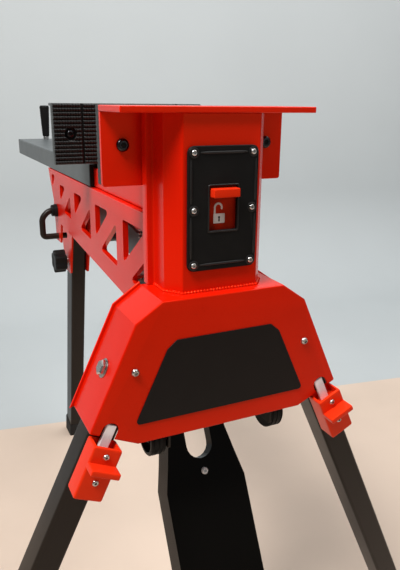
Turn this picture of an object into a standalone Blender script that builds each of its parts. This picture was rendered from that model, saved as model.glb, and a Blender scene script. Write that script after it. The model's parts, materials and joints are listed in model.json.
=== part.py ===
"""Folding clamping workbench with a pedal-driven jaw, three folding legs and transport rollers.

X runs to the right, Y backwards from the front face of the column, Z up from the floor.
The finished model is moved so that the middle of its footprint is at the origin.
"""
import math

import bmesh
import bpy
from mathutils import Matrix, Vector

# Seats and clearances
GAP = 0.0003
SLIDE_GAP = 0.0006
HOLE_GAP = 0.0004
SWING_GAP = 0.0010
CUT_PAST = 0.004
WELD_IN = 0.0006

# Sheet and plate thickness
SHEET_T = 0.003
EDGE_R = 0.0008
CHASSIS_T = 0.004
FORK_T = 0.004

# Column, top plate and fixed jaw
COLUMN_H = 0.2068
TOP_PLATE_LIP = 0.0005
TOP_PLATE_T = 0.007
TOP_PLATE_OVERHANG = 0.005
COLUMN_FACE_W = 0.100
COLUMN_CHAMFER_D = 0.020
COLUMN_D = 0.051
COLUMN_LIP = 0.009
BACK_CHANNEL_D = 0.0144
JAW_W = 0.245
JAW_H = 0.091
JAW_FLANGE_H = 0.086
JAW_FLANGE_R = 0.003
JAW_PLATE_T = 0.006
PAD_T = 0.012
PAD_RIDGES = 15
PAD_RIDGE_D = 0.0022
PAD_SINK = 0.007
PAD_GROOVE_W = 0.004
PAD_GROOVE_D = 0.0037
PAD_GROOVE_IN = 0.0185
JAW_BOLT_INSET = 0.0255
JAW_BOLT_DOWN = 0.045
JAW_BOLT_R = 0.004
JAW_BOLT_HEAD_R = 0.0073
JAW_BOLT_HEAD_T = 0.005

# Switch panel and slide switch
PANEL_W = 0.091
PANEL_H = 0.145
PANEL_T = 0.0045
PANEL_R = 0.008
PANEL_UP = 0.0271
PANEL_SCREW_R = 0.0035
PANEL_SCREW_T = 0.0020
PANEL_SCREW_INSET = 0.0075
WINDOW_W = 0.036
WINDOW_H = 0.0516
WINDOW_UP = 0.0477
TAB_PLAY = 0.00075
TAB_H = 0.0105
TAB_OUT = 0.010
TAB_DROP = 0.002
BACKING_LAP = 0.001
WEDGE_D = 0.014
WEDGE_W = 0.016
WEDGE_SPARE = 0.010
SWITCH_TRAVEL = 0.030
RELEASE_PUSH = 0.010

# Leg housing
HOUSING_TOP = 0.6556
HOUSING_TOP_W = 0.164
HOUSING_FRONT = 0.0173
HOUSING_D = 0.0773
SHOULDER_W = 0.2314
SHOULDER_DROP = 0.0234
LEG_SPLAY = math.radians(25.0)
SIDE_L = 0.1392
CORNER_L = 0.0649
NOTCH_W = 0.021
NOTCH_UP = 0.020
LEG_SLOT_UP = 0.030
HOUSING_FOLD_R = 0.0025
HOUSING_SCREW_IN = 0.025
HOUSING_SCREW_DOWN = 0.0811
HOUSING_SCREW_R = 0.0047
HOUSING_SCREW_T = 0.0033
LABEL_T = 0.001
LABEL_R = 0.004
LABEL_UP = 0.027
LABEL_H = 0.101
LABEL_CUT = 0.0105
LABEL_LOW_IN = 0.0555
LABEL_SIDE_IN = 0.0975
LABEL_TOP_IN = 0.110

# Front legs and their latches
LEG_W = 0.036
LEG_D = 0.041
LEG_WALL = 0.002
LEG_BEND_R = 0.005
LEG_TOP = 0.021
LEG_PIVOT_DOWN = 0.068
LEG_PIVOT_Y = 0.017
PIVOT_GAP = 0.002
PIVOT_BOLT_R = 0.005
PIVOT_HEAD_R = 0.0098
PIVOT_HEAD_T = 0.0065
PIVOT_NUT_T = 0.007
PIVOT_PLATE_UP = 0.026
PIVOT_PLATE_DOWN = 0.018
FOOT_H = 0.042
FOOT_WALL = 0.003
FOOT_SOLE = 0.008
FOOT_R = 0.004
FOOT_SPARE = 0.040
TONGUE_W = 0.013
TONGUE_T = 0.005
TONGUE_UP = 0.017
TONGUE_BACK = 0.001
LATCH_W = 0.037
LATCH_L = 0.068
LATCH_T = 0.029
LATCH_R = 0.003
LATCH_DROP = 0.005
POCKET_WALL = 0.0035
POCKET_D = 0.012
LEDGE_UP = 0.010
LEDGE_R = 0.002
LEDGE_T = 0.008
LEDGE_OUT = 0.018

# Rollers
ROLLER_R = 0.026
ROLLER_W = 0.020
ROLLER_X = 0.076
ROLLER_Y = 0.0145
ROLLER_DROP = 0.010614
ROLLER_WALL = 0.005
ROLLER_EDGE = 0.002
ROLLER_WEB = 0.003
HUB_WALL = 0.004
AXLE_R = 0.005
AXLE_GAP = 0.0002
AXLE_PLATE_H = 0.080
AXLE_PLATE_DOWN = 0.008

# Chassis
CHASSIS_W = 0.131
CHASSIS_DROP = 0.037
CHASSIS_REAR = 0.658
CHASSIS_LOW_DROP = 0.049
CHASSIS_LOW_Y = 0.195
CHASSIS_RISE = 0.079
CHASSIS_FLANGE = 0.024
LUG_DOWN = 0.011
LUG_W = 0.036
LUG_SLOPE = 0.012
TRUSS_FIRST = 0.1726
TRUSS_LAST_IN = 0.038
TRUSS_SHARES = (0.0, 0.36, 0.71, 1.0)
TRUSS_POST = 0.031
TRUSS_HIGH_SLANT = 1.45
TRUSS_LOW_SLANT = 1.3
TRUSS_TOP_BAND = 0.023
TRUSS_FOOT_BAND = 0.049
TRUSS_LOW_BAND = 0.033
TRUSS_TIP_BAND = 0.011
TRUSS_FRONT_IN = 0.010
TRUSS_FRONT_H = 0.050
TRUSS_END_IN = 0.0305
TRUSS_END_BAND = 0.0095
TRUSS_END_W = 0.0295
TRUSS_END_H = 0.028
TRUSS_R = 0.004
COLLAR_D = 0.004
COLLAR_T = 0.0025
TIE_R = 0.007
TIE_Y = 0.400
TIE_UP = 0.016
WEB_T = 0.006
WEB_FRONT = 0.250
WEB_UP = 0.006
WEB_FRONT_DROP = 0.054
WEB_REAR_DROP = 0.008
CROSS_UP = 0.008

# Rail, beam and moving jaw
BEAM_W = 0.130
BEAM_DROP = 0.094
BEAM_FRONT = 0.340
BEAM_L = 0.669
BEAM_CLEAR = 0.002
BEND_R = 0.0005
GLIDE_SIDE = 0.004
GLIDE_TOP = 0.002
GLIDE_L = 0.040
GLIDE_UP = 0.004
SHOE_LIP = 0.005
RAIL_R = 0.003
RAIL_SLOT_L = 0.103
RAIL_SLOT_LEFT = 0.012
CAP_T = 0.004
CAP_R = 0.0015
CAP_PLUG_L = 0.012
CAP_SOCKET = 0.004
DRAW_BAR_W = 0.030
DRAW_BAR_T = 0.008
DRAW_BAR_IN = 0.005
DRAW_BAR_DROP = 0.003
MOVING_PAD_OUT = 0.024
PLATE_RETURN_T = 0.004
PLATE_RETURN_D = 0.017
BRACKET_W = 0.110
BRACKET_L = 0.105
BRACKET_T = 0.005
BRACKET_DROP = 0.006
RIB_X = 0.040
RIB_T = 0.006
RIB_TIP_H = 0.008
RIB_TOP_D = 0.012
RIB_SHORT = 0.010
HANDLE_IN = 0.025
HANDLE_UP = 0.008
HANDLE_H = 0.076
HANDLE_TOP_R = 0.012
HANDLE_LOW_R = 0.0085
HANDLE_CROWN = 0.005
STUD_R = 0.005
STUD_COLLAR = 0.002
STUD_GAP = 0.0001

# Rear leg, fork, knob and lock pull
REAR_PIVOT_OUT = 0.0427
REAR_PIVOT_DROP = 0.114
REAR_LEAN = math.radians(13.3)
REAR_LEG_W = 0.033
REAR_LEG_D = 0.048
REAR_LEG_TOP = 0.020
REAR_PIVOT_R = 0.006
REAR_HEAD_R = 0.0108
REAR_FOOT_WALL = 0.0018
LEVER_T = 0.005
LEVER_TIP_R = 0.009
LEVER_ROOT = 0.016
FORK_R = 0.006
FORK_UP = 0.065
FORK_BACK = 0.044
FORK_HEEL = 0.071
FORK_HEEL_DOWN = 0.013
FORK_DOWN = 0.027
FORK_TOE = 0.022
FORK_WAIST = 0.037
FORK_PULL_DOWN = 0.019
PULL_IN = 0.060
PULL_DROP = 0.080
PULL_H = 0.053
PULL_ROD_R = 0.006
PULL_BEND_R = 0.010
PULL_OUT = 0.031
PULL_SLANT = 0.014
PULL_TRAVEL = 0.013
PULL_PIN_R = 0.004
BARREL_R = 0.0115
BARREL_L = 0.011
BARREL_LIP = 0.0015
BARREL_LIP_L = 0.005
KNOB_BACK = 0.0193
KNOB_DROP = 0.1055
KNOB_GAP = 0.0035
KNOB_COLLAR = 0.004
KNOB_R = 0.0265
KNOB_L = 0.029
KNOB_EDGE = 0.002
KNOB_LOBES = 6
KNOB_SCREW_R = 0.005

# Pedal and drive
PEDAL_Y = 0.185
PEDAL_UP = 0.0209
PEDAL_HEAD = 0.016
NECK_NOTCH = 0.014
PEDAL_NECK_L = 0.150
PEDAL_FLARE_L = 0.160
PEDAL_SCREW_BELOW = 0.018
PEDAL_SCREW_R = 0.0047
PEDAL_SCREW_T = 0.0028
PEDAL_SHANK_R = 0.0025
PEDAL_SHANK_L = 0.008
PEDAL_LEAN = math.radians(28.4)
PEDAL_L = 0.560
PEDAL_D = 0.040
PEDAL_T = 0.0025
PEDAL_FACE = 0.012
PEDAL_NECK_W = 0.064
PEDAL_W = 0.121
PEDAL_SLOT_W = 0.039
PEDAL_SLOT_LOW = 0.274
PEDAL_SLOT_HIGH = 0.060
PEDAL_PIVOT_R = 0.006
TREAD_L = 0.085
TREAD_T = 0.010
TREAD_RIBS = 6
TREAD_EDGE = 0.004
STEP_T = 0.004
STEP_LOW = 0.006
DRIVE_DROP = 0.011
DRIVE_X = 0.012
RELEASE_X = -0.002
ROD_R = 0.004
GRIP_PLATE_T = 0.004
GRIP_PLATE_W = 0.060
GRIP_ROOM = 0.0024
TAIL_W = 0.012
TAIL_DOWN = 0.006
DRIVE_PLATE_IN = 0.058
LOCK_PLATE_IN = 0.018
LOCK_PIN_R = 0.0025
LOCK_PIN_DROP = 0.005
ROD_POINT = 0.0023
EYE_T = 0.006
EYE_DOWN = 0.013
EYE_UP = 0.0055
EYE_FRONT = 0.011
EYE_BACK = 0.012
EYE_PLAY = 0.0012
CRANK_T = 0.005
CRANK_IN = 0.004
CRANK_TIP_R = 0.009
CRANK_HUB = 0.0034
CRANK_PIN_R = 0.0035
DRIVE_STROKE = 0.030
SPRING_R = 0.006
SPRING_WIRE = 0.0009
SPRING_TURNS = 18
SPRING_X = -0.0185
SPRING_ARM = 0.035
SEAT_T = 0.004
SEAT_LAP = 0.003

# Places that follow from the driving dimensions
COLUMN_LOW = HOUSING_TOP + GAP
COLUMN_HIGH = COLUMN_LOW + COLUMN_H
BENCH_H = COLUMN_HIGH + GAP + TOP_PLATE_T
TOP_PLATE_W = JAW_W + 2 * TOP_PLATE_LIP
JAW_BOLT_X = JAW_W / 2 - JAW_BOLT_INSET
JAW_BOLT_Z = BENCH_H - JAW_BOLT_DOWN
BEAM_TOP = BENCH_H - BEAM_DROP
BEAM_REAR = BEAM_FRONT + BEAM_L
CHASSIS_TOP = BEAM_TOP - CHASSIS_DROP
CHASSIS_LOW_Z = HOUSING_TOP - CHASSIS_LOW_DROP
PANEL_Z = HOUSING_TOP + PANEL_UP
PANEL_SCREW_X = PANEL_W / 2 - PANEL_SCREW_INSET
WINDOW_LOW = PANEL_Z + WINDOW_UP
WINDOW_HIGH = WINDOW_LOW + WINDOW_H
TAB_W = WINDOW_W - 2 * TAB_PLAY
BACK_Y = COLUMN_D + SHEET_T + GAP
BACK_REAR = BACK_Y + BACK_CHANNEL_D
JAW_Y = BACK_REAR + GAP
FIXED_PAD_Y = JAW_Y + JAW_PLATE_T + GAP
HOUSING_REAR = HOUSING_D - HOUSING_FRONT
SIDE_DIR = Vector((math.sin(LEG_SPLAY), -math.cos(LEG_SPLAY)))
SIDE_OUT = Vector((math.cos(LEG_SPLAY), math.sin(LEG_SPLAY)))
SHOULDER = Vector((SHOULDER_W / 2, HOUSING_TOP - SHOULDER_DROP))
CORNER = SHOULDER + SIDE_L * SIDE_DIR
BOTTOM = CORNER - CORNER_L * SIDE_OUT
LEG_INSET = SHEET_T + PIVOT_GAP + LEG_W / 2
LEG_PIVOT = SHOULDER + LEG_PIVOT_DOWN * SIDE_DIR - LEG_INSET * SIDE_OUT
CORNER_DOWN = SIDE_L - LEG_PIVOT_DOWN
ROLLER_Z = BOTTOM.y - ROLLER_DROP
MOVING_PAD_Y = BEAM_FRONT - MOVING_PAD_OUT
HANDLE_Y = BEAM_REAR - HANDLE_IN
HANDLE_LOW = BEAM_TOP + HANDLE_UP
REAR_PIVOT_Y = CHASSIS_REAR + REAR_PIVOT_OUT
REAR_PIVOT_Z = CHASSIS_TOP - REAR_PIVOT_DROP
PULL_Y = CHASSIS_REAR - PULL_IN
PULL_HIGH = CHASSIS_TOP - PULL_DROP
PULL_LOW = PULL_HIGH - PULL_H
KNOB_Y = REAR_PIVOT_Y + KNOB_BACK
KNOB_Z = REAR_PIVOT_Z - KNOB_DROP
PEDAL_Z = CHASSIS_LOW_Z + PEDAL_UP
DRIVE_Z = CHASSIS_TOP - DRIVE_DROP
DRIVE_PLATE_Y = CHASSIS_REAR - DRIVE_PLATE_IN
LOCK_PLATE_Y = CHASSIS_REAR - LOCK_PLATE_IN
TRUSS_TOP = CHASSIS_TOP - TRUSS_TOP_BAND
TRUSS_SPAN = PULL_Y - TRUSS_LAST_IN - TRUSS_FIRST
TRUSS_POSTS = [TRUSS_FIRST + share * TRUSS_SPAN for share in TRUSS_SHARES]
LEG_L = LEG_PIVOT.y / math.cos(LEG_SPLAY)
RAIL_W = BEAM_W - 2 * SHEET_T - 2 * GLIDE_SIDE
RAIL_TOP = BEAM_TOP - SHEET_T - GLIDE_TOP
RAIL_LOW = CHASSIS_TOP + GAP
CHASSIS_IN = CHASSIS_W / 2 - CHASSIS_T
FORK_IN = REAR_LEG_W / 2 + SWING_GAP
CROSS_REAR = DRIVE_PLATE_Y - DRIVE_STROKE - SWING_GAP
FORK_FRONT = CROSS_REAR + GAP
REAR_LEG_L = REAR_PIVOT_Z / math.cos(REAR_LEAN)
DRAW_BAR_Z = (RAIL_LOW + RAIL_TOP) / 2 - DRAW_BAR_DROP
LOCK_PIN_Z = RAIL_TOP - SHEET_T - LOCK_PIN_DROP
TAB_LOW = WINDOW_HIGH - TAB_DROP - TAB_H


def make_collection(name):
    """A new collection in the scene."""
    group = bpy.data.collections.new(name)
    bpy.context.scene.collection.children.link(group)
    return group


def clear_scene():
    """Remove what the scene holds."""
    for obj in list(bpy.data.objects):
        bpy.data.objects.remove(obj, do_unlink=True)


clear_scene()
PARTS = make_collection("folding_clamping_workbench")
CUTTERS = make_collection("cutters")


def empty(name, place, parent=None, turn=(0.0, 0.0, 0.0)):
    """An empty that carries pieces; a moving body's empty sits on its joint axis."""
    obj = bpy.data.objects.new(name, None)
    PARTS.objects.link(obj)
    obj.empty_display_size = 0.05
    obj.location = place
    obj.rotation_euler = turn
    obj.parent = parent
    return obj


ROOT = empty("bench", (0.0, 0.0, 0.0))


def paint(name, colour, roughness, metallic=0.0):
    """A plain Principled material."""
    material = bpy.data.materials.new(name)
    material.use_nodes = True
    shader = material.node_tree.nodes["Principled BSDF"]
    shader.inputs["Base Color"].default_value = (*colour, 1.0)
    shader.inputs["Roughness"].default_value = roughness
    shader.inputs["Metallic"].default_value = metallic
    material.diffuse_color = (*colour, 1.0)
    return material


RED = paint("red_powder_coat", (0.61, 0.013, 0.006), 0.35)
GREY = paint("grey_powder_coat", (0.17, 0.19, 0.19), 0.45)
BLACK = paint("black_powder_coat", (0.018, 0.015, 0.012), 0.4)
PLASTIC = paint("black_plastic", (0.012, 0.012, 0.012), 0.5)
RED_PLASTIC = paint("red_plastic", (0.60, 0.02, 0.012), 0.4)
RUBBER = paint("rubber", (0.010, 0.010, 0.010), 0.8)
STEEL = paint("zinc_plated_steel", (0.62, 0.62, 0.60), 0.3, 1.0)


def add_mesh(name, mesh):
    """Link a mesh object into the parts collection."""
    obj = bpy.data.objects.new(name, mesh)
    PARTS.objects.link(obj)
    return obj


def block(name, low, high):
    """A box between two corners, with its origin at its middle."""
    low = Vector(low)
    high = Vector(high)
    mesh = bpy.data.meshes.new(name)
    shape = bmesh.new()
    bmesh.ops.create_cube(shape, size=1.0, matrix=Matrix.Diagonal((*(high - low), 1.0)))
    shape.to_mesh(mesh)
    shape.free()
    obj = add_mesh(name, mesh)
    obj.location = (low + high) / 2
    return obj


def bar(name, start, end, radius, sides=20, end_radius=None):
    """A cylinder, or a cone frustum, from one point to another."""
    start = Vector(start)
    end = Vector(end)
    mesh = bpy.data.meshes.new(name)
    shape = bmesh.new()
    far = radius if end_radius is None else end_radius
    bmesh.ops.create_cone(shape, cap_ends=True, segments=sides, radius1=radius, radius2=far,
                          depth=(end - start).length)
    shape.to_mesh(mesh)
    shape.free()
    mesh.shade_smooth()
    mesh.set_sharp_from_angle(angle=math.radians(40))
    obj = add_mesh(name, mesh)
    obj.location = (start + end) / 2
    obj.rotation_euler = (end - start).to_track_quat("Z", "Y").to_euler()
    return obj


def settle(obj):
    """Turn a curve or a screw shape into a welded mesh with its faces outwards."""
    bpy.context.view_layer.update()
    graph = bpy.context.evaluated_depsgraph_get()
    mesh = bpy.data.meshes.new_from_object(obj.evaluated_get(graph))
    shape = bmesh.new()
    shape.from_mesh(mesh)
    bmesh.ops.remove_doubles(shape, verts=shape.verts, dist=0.000005)
    bmesh.ops.recalc_face_normals(shape, faces=shape.faces)
    bmesh.ops.dissolve_limit(shape, angle_limit=0.002, verts=shape.verts, edges=shape.edges)
    shape.to_mesh(mesh)
    shape.free()
    name = obj.name
    place = obj.matrix_world.copy()
    bpy.data.objects.remove(obj, do_unlink=True)
    solid = add_mesh(name, mesh)
    solid.matrix_world = place
    return solid


PLANE_TURN = {
    "XY": (0.0, 0.0, 0.0),
    "XZ": (math.pi / 2, 0.0, 0.0),
    "YZ": (math.pi / 2, 0.0, math.pi / 2),
}


def slab(name, outline, low, high, plane, holes=()):
    """A flat outline, with any holes, extruded between two levels across its plane."""
    curve = bpy.data.curves.new(name, "CURVE")
    curve.dimensions = "2D"
    curve.fill_mode = "BOTH"
    curve.extrude = (high - low) / 2
    spline = curve.splines.new("POLY")
    spline.points.add(len(outline) - 1)
    spline.use_cyclic_u = True
    for point, corner in zip(spline.points, outline):
        point.co = (corner[0], corner[1], 0.0, 1.0)
    obj = bpy.data.objects.new(name, curve)
    PARTS.objects.link(obj)
    middle = (low + high) / 2
    obj.location = {"XY": (0, 0, middle), "XZ": (0, middle, 0), "YZ": (middle, 0, 0)}[plane]
    obj.rotation_euler = PLANE_TURN[plane]
    solid = settle(obj)
    for hole in holes:
        cut(solid, slab(name + "_hole", hole, low - CUT_PAST, high + CUT_PAST, plane))
    return solid


def turned(name, profile, steps=24, closed=False):
    """A profile of (radius, height) points turned about Z; a closed one makes a ring."""
    mesh = bpy.data.meshes.new(name)
    shape = bmesh.new()
    corners = [shape.verts.new((radius, 0.0, height)) for radius, height in profile]
    for first, second in zip(corners, corners[1:]):
        shape.edges.new((first, second))
    if closed:
        shape.edges.new((corners[-1], corners[0]))
    shape.to_mesh(mesh)
    shape.free()
    obj = add_mesh(name, mesh)
    screw = obj.modifiers.new("turn", "SCREW")
    screw.steps = steps
    screw.render_steps = steps
    screw.use_merge_vertices = True
    screw.merge_threshold = 0.00001
    solid = settle(obj)
    solid.data.shade_smooth()
    solid.data.set_sharp_from_angle(angle=math.radians(35))
    return solid


def wire(name, path, radius, resolution=2):
    """A round wire along a path, with closed ends."""
    curve = bpy.data.curves.new(name, "CURVE")
    curve.dimensions = "3D"
    curve.bevel_depth = radius
    curve.bevel_resolution = resolution
    curve.use_fill_caps = True
    spline = curve.splines.new("POLY")
    spline.points.add(len(path) - 1)
    for point, place in zip(spline.points, path):
        point.co = (*place, 1.0)
    obj = bpy.data.objects.new(name, curve)
    PARTS.objects.link(obj)
    solid = settle(obj)
    solid.data.shade_smooth()
    return solid


def hide_tool(tool):
    """Keep a cutter or an added shape out of the model itself."""
    PARTS.objects.unlink(tool)
    CUTTERS.objects.link(tool)
    tool.hide_render = True
    tool.display_type = "WIRE"


def combine(obj, tool, operation):
    """A Boolean modifier with a tool that shares the object's parent."""
    step = obj.modifiers.new(operation.lower(), "BOOLEAN")
    step.operation = operation
    step.solver = "EXACT"
    step.object = tool
    hide_tool(tool)
    tool["host"] = obj.name
    return obj


def cut(obj, tool):
    """Take a tool's volume away."""
    return combine(obj, tool, "DIFFERENCE")


def weld(obj, tool):
    """Add a tool's volume, so that both become one body."""
    return combine(obj, tool, "UNION")


def soften(obj, width, segments=2):
    """Round the edges."""
    step = obj.modifiers.new("edges", "BEVEL")
    step.width = width
    step.segments = segments
    step.limit_method = "ANGLE"
    step.angle_limit = math.radians(35)
    return obj


def family(obj):
    """A piece, the tools that shape it, and the tools that shape those."""
    members = [obj]
    for tool in CUTTERS.objects:
        if tool.get("host") == obj.name:
            members += family(tool)
    return members


def place(obj, material, parent=None):
    """Give a piece its material and hang it, with its tools, on what carries it."""
    obj.data.materials.clear()
    obj.data.materials.append(material)
    for member in family(obj):
        member.parent = parent or ROOT
    return obj


def arc(centre, radius, start, end, steps):
    """Points on an arc, in degrees."""
    points = []
    for index in range(steps + 1):
        angle = math.radians(start + (end - start) * index / steps)
        points.append((centre[0] + radius * math.cos(angle), centre[1] + radius * math.sin(angle)))
    return points


def circle(centre, radius, sides=20):
    """Points round a circle."""
    return arc(centre, radius, 0, 360, sides)[:-1]


def rectangle(low, high):
    """The corners of a rectangle."""
    return [low, (high[0], low[1]), high, (low[0], high[1])]


def rounded(points, radius, steps=3, closed=True):
    """Round a polyline's corners with arcs that touch both sides."""
    result = []
    count = len(points)
    for index in range(count):
        here = Vector(points[index])
        if not closed and index in (0, count - 1):
            result.append(tuple(here))
            continue
        back = Vector(points[index - 1]) - here
        ahead = Vector(points[(index + 1) % count]) - here
        half = back.angle(ahead) / 2
        reach = min(radius / math.tan(half), back.length * 0.45, ahead.length * 0.45)
        size = reach * math.tan(half)
        middle = here + (back.normalized() + ahead.normalized()).normalized() * size / math.sin(half)
        first = here + back.normalized() * reach - middle
        last = here + ahead.normalized() * reach - middle
        for step in range(steps + 1):
            share = step / steps
            spoke = first.normalized().slerp(last.normalized(), share) * size
            result.append(tuple(middle + spoke))
    return result


def thicken(path, thickness):
    """A closed outline of an open path and the same path moved to its left by a thickness."""
    moved = []
    for index, point in enumerate(path):
        here = Vector(point)
        normals = []
        if index > 0:
            run = (here - Vector(path[index - 1])).normalized()
            normals.append(Vector((-run.y, run.x)))
        if index < len(path) - 1:
            run = (Vector(path[index + 1]) - here).normalized()
            normals.append(Vector((-run.y, run.x)))
        side = sum(normals, Vector((0.0, 0.0))).normalized()
        moved.append(tuple(here + side * thickness / side.dot(normals[0])))
    return list(path) + moved[::-1]


def mirrored(points):
    """A right half from bottom to top, closed with its mirror image on the left."""
    return list(points) + [(-x, z) for x, z in reversed(points)]


def chassis_low(y):
    """Height of the chassis's lower edge."""
    return CHASSIS_LOW_Z + CHASSIS_RISE * (y - CHASSIS_LOW_Y)


def screw_head(name, spot, radius, height, face, shank, shank_l):
    """A pan-head screw facing forward at an (x, z) place."""
    screw = turned(name, [(0.0, height), (radius * 0.6, height), (radius, height * 0.4), (radius, 0.0),
                          (shank, 0.0), (shank, -shank_l), (0.0, -shank_l)], 16)
    screw.rotation_euler = (math.pi / 2, 0.0, 0.0)
    screw.location = (spot[0], face, spot[1])
    return screw


def pad_profile(face, back, low, high):
    """A jaw pad's section in (y, z): a flat back and a toothed working face."""
    points = [(back, low), (back, high)]
    pitch = (high - low) / PAD_RIDGES
    inward = PAD_RIDGE_D if back > face else -PAD_RIDGE_D
    for ridge in range(PAD_RIDGES):
        top = high - ridge * pitch
        points.append((face + inward, top))
        points.append((face, top - pitch * 0.3))
        points.append((face, top - pitch * 0.7))
    points.append((face + inward, low))
    return points


def jaw_bolt(name, x, face, length):
    """A button-head bolt along Y with its head in front of a face."""
    bolt = turned(name, [(0.0, JAW_BOLT_HEAD_T), (JAW_BOLT_HEAD_R * 0.55, JAW_BOLT_HEAD_T * 0.94),
                         (JAW_BOLT_HEAD_R * 0.9, JAW_BOLT_HEAD_T * 0.56), (JAW_BOLT_HEAD_R, GAP),
                         (JAW_BOLT_R, GAP), (JAW_BOLT_R, -length), (0.0, -length)], 20)
    bolt.rotation_euler = (math.pi / 2, 0.0, 0.0)
    bolt.location = (x, face, JAW_BOLT_Z)
    return bolt


def build_column():
    """Column of folded sheet, its back channel and the top plate."""
    half = CHASSIS_W / 2
    face = COLUMN_FACE_W / 2
    path = [(-half - COLUMN_LIP, COLUMN_D), (-half, COLUMN_D), (-half, COLUMN_CHAMFER_D), (-face, 0.0),
            (face, 0.0), (half, COLUMN_CHAMFER_D), (half, COLUMN_D), (half + COLUMN_LIP, COLUMN_D)]
    bent = rounded(path, SHEET_T, 2, closed=False)
    column = slab("column", thicken(bent, SHEET_T), COLUMN_LOW, COLUMN_HIGH, "XY")
    wide = WINDOW_W / 2 + SHEET_T
    window_low = WINDOW_LOW - SWITCH_TRAVEL - CUT_PAST
    window_high = TAB_LOW + TAB_H + SWITCH_TRAVEL + 2 * CUT_PAST
    cut(column, block("column_window", (-wide, -CUT_PAST, window_low), (wide, SHEET_T + CUT_PAST, window_high)))
    place(column, RED)

    wide = half + COLUMN_LIP
    path = [(-wide, BACK_Y), (-wide, BACK_REAR), (wide, BACK_REAR), (wide, BACK_Y)]
    section = thicken(rounded(path, SHEET_T + 2 * BEND_R, 2, closed=False)[::-1], SHEET_T)
    back = slab("column_back", section, COLUMN_LOW, COLUMN_HIGH, "XY")
    cut(back, bar("back_hole", (RELEASE_X, BACK_Y, DRIVE_Z), (RELEASE_X, BACK_REAR + CUT_PAST, DRIVE_Z),
                  ROD_R + HOLE_GAP))
    place(back, RED)

    top = block("top_plate", (-TOP_PLATE_W / 2, -TOP_PLATE_OVERHANG, BENCH_H - TOP_PLATE_T),
                (TOP_PLATE_W / 2, JAW_Y + JAW_PLATE_T, BENCH_H))
    place(soften(top, EDGE_R, 1), RED)


def build_fixed_jaw():
    """Jaw flange under the top plate, its ribbed pad and bolts."""
    half = JAW_W / 2
    low = BENCH_H - TOP_PLATE_T - JAW_FLANGE_H
    high = COLUMN_HIGH
    inset = half - JAW_FLANGE_R
    outline = [(-half, high)] + arc((-inset, low + JAW_FLANGE_R), JAW_FLANGE_R, 180, 270, 3)
    outline += arc((inset, low + JAW_FLANGE_R), JAW_FLANGE_R, 270, 360, 3) + [(half, high)]
    holes = [circle((x, JAW_BOLT_Z), JAW_BOLT_R + HOLE_GAP, 16) for x in (-JAW_BOLT_X, JAW_BOLT_X)]
    plate = slab("fixed_jaw_plate", outline, JAW_Y, JAW_Y + JAW_PLATE_T, "XZ", holes)
    place(plate, RED)

    section = pad_profile(FIXED_PAD_Y + PAD_T, FIXED_PAD_Y, BENCH_H - JAW_H, BENCH_H)
    pad = slab("fixed_jaw_pad", section, -half, half, "YZ")
    for x in (-JAW_BOLT_X, JAW_BOLT_X):
        cut(pad, bar("pad_hole", (x, FIXED_PAD_Y - CUT_PAST, JAW_BOLT_Z),
                     (x, FIXED_PAD_Y + PAD_T * 0.7, JAW_BOLT_Z), JAW_BOLT_R + HOLE_GAP, 16))
    place(pad, PLASTIC)
    for word, x in (("left", -JAW_BOLT_X), ("right", JAW_BOLT_X)):
        place(jaw_bolt(f"fixed_jaw_bolt_{word}", x, JAW_Y, JAW_PLATE_T + PAD_T * 0.6), BLACK)


def build_switch():
    """Switch panel on the column's face with its screws, and the slide switch in its window."""
    half = PANEL_W / 2
    high = PANEL_Z + PANEL_H
    outline = rounded(rectangle((-half, PANEL_Z), (half, high)), PANEL_R, 4)
    window = rectangle((-WINDOW_W / 2, WINDOW_LOW), (WINDOW_W / 2, WINDOW_HIGH))
    places = []
    for z in (PANEL_Z + PANEL_SCREW_INSET, PANEL_Z + PANEL_H / 2, high - PANEL_SCREW_INSET):
        places += [(-PANEL_SCREW_X, z), (PANEL_SCREW_X, z)]
    panel = slab("switch_panel", outline, -PANEL_T, -GAP, "XZ", [window])
    soften(panel, EDGE_R, 1)
    for spot in places:
        weld(panel, screw_head("panel_screw", spot, PANEL_SCREW_R, PANEL_SCREW_T, -PANEL_T + WELD_IN,
                               PANEL_SCREW_R / 2, PANEL_T / 2))
    place(panel, PLASTIC)

    carrier = empty("switch_axis", (0.0, 0.0, TAB_LOW), ROOT)
    tab = block("release_slider", (-TAB_W / 2, -PANEL_T - TAB_OUT, 0.0), (TAB_W / 2, SHEET_T / 2, TAB_H))
    soften(tab, 2 * EDGE_R, 2)
    backing_low = WINDOW_LOW - TAB_LOW - BACKING_LAP
    backing_high = TAB_H + SWITCH_TRAVEL + TAB_DROP + BACKING_LAP
    wide = WINDOW_W / 2 + BACKING_LAP
    behind = SHEET_T + SLIDE_GAP
    weld(tab, block("slider_backing", (-wide, SLIDE_GAP, backing_low),
                    (wide, behind + SLIDE_GAP, backing_high)))
    slope = RELEASE_PUSH / SWITCH_TRAVEL
    low = DRIVE_Z - TAB_LOW - WEDGE_SPARE
    high = DRIVE_Z - TAB_LOW + SWITCH_TRAVEL + WEDGE_SPARE
    wedge = [(behind, low), (WEDGE_D - slope * WEDGE_SPARE, low),
             (WEDGE_D + slope * (SWITCH_TRAVEL + WEDGE_SPARE), high), (behind, high)]
    weld(tab, slab("slider_wedge", wedge, RELEASE_X - WEDGE_W / 2, RELEASE_X + WEDGE_W / 2, "YZ"))
    place(tab, RED_PLASTIC, carrier)


def housing_outline():
    """Front outline of the leg housing, right half from bottom to top and back down the left."""
    half = [tuple(BOTTOM), tuple(CORNER), tuple(SHOULDER), (HOUSING_TOP_W / 2, HOUSING_TOP)]
    return mirrored(half)


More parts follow.
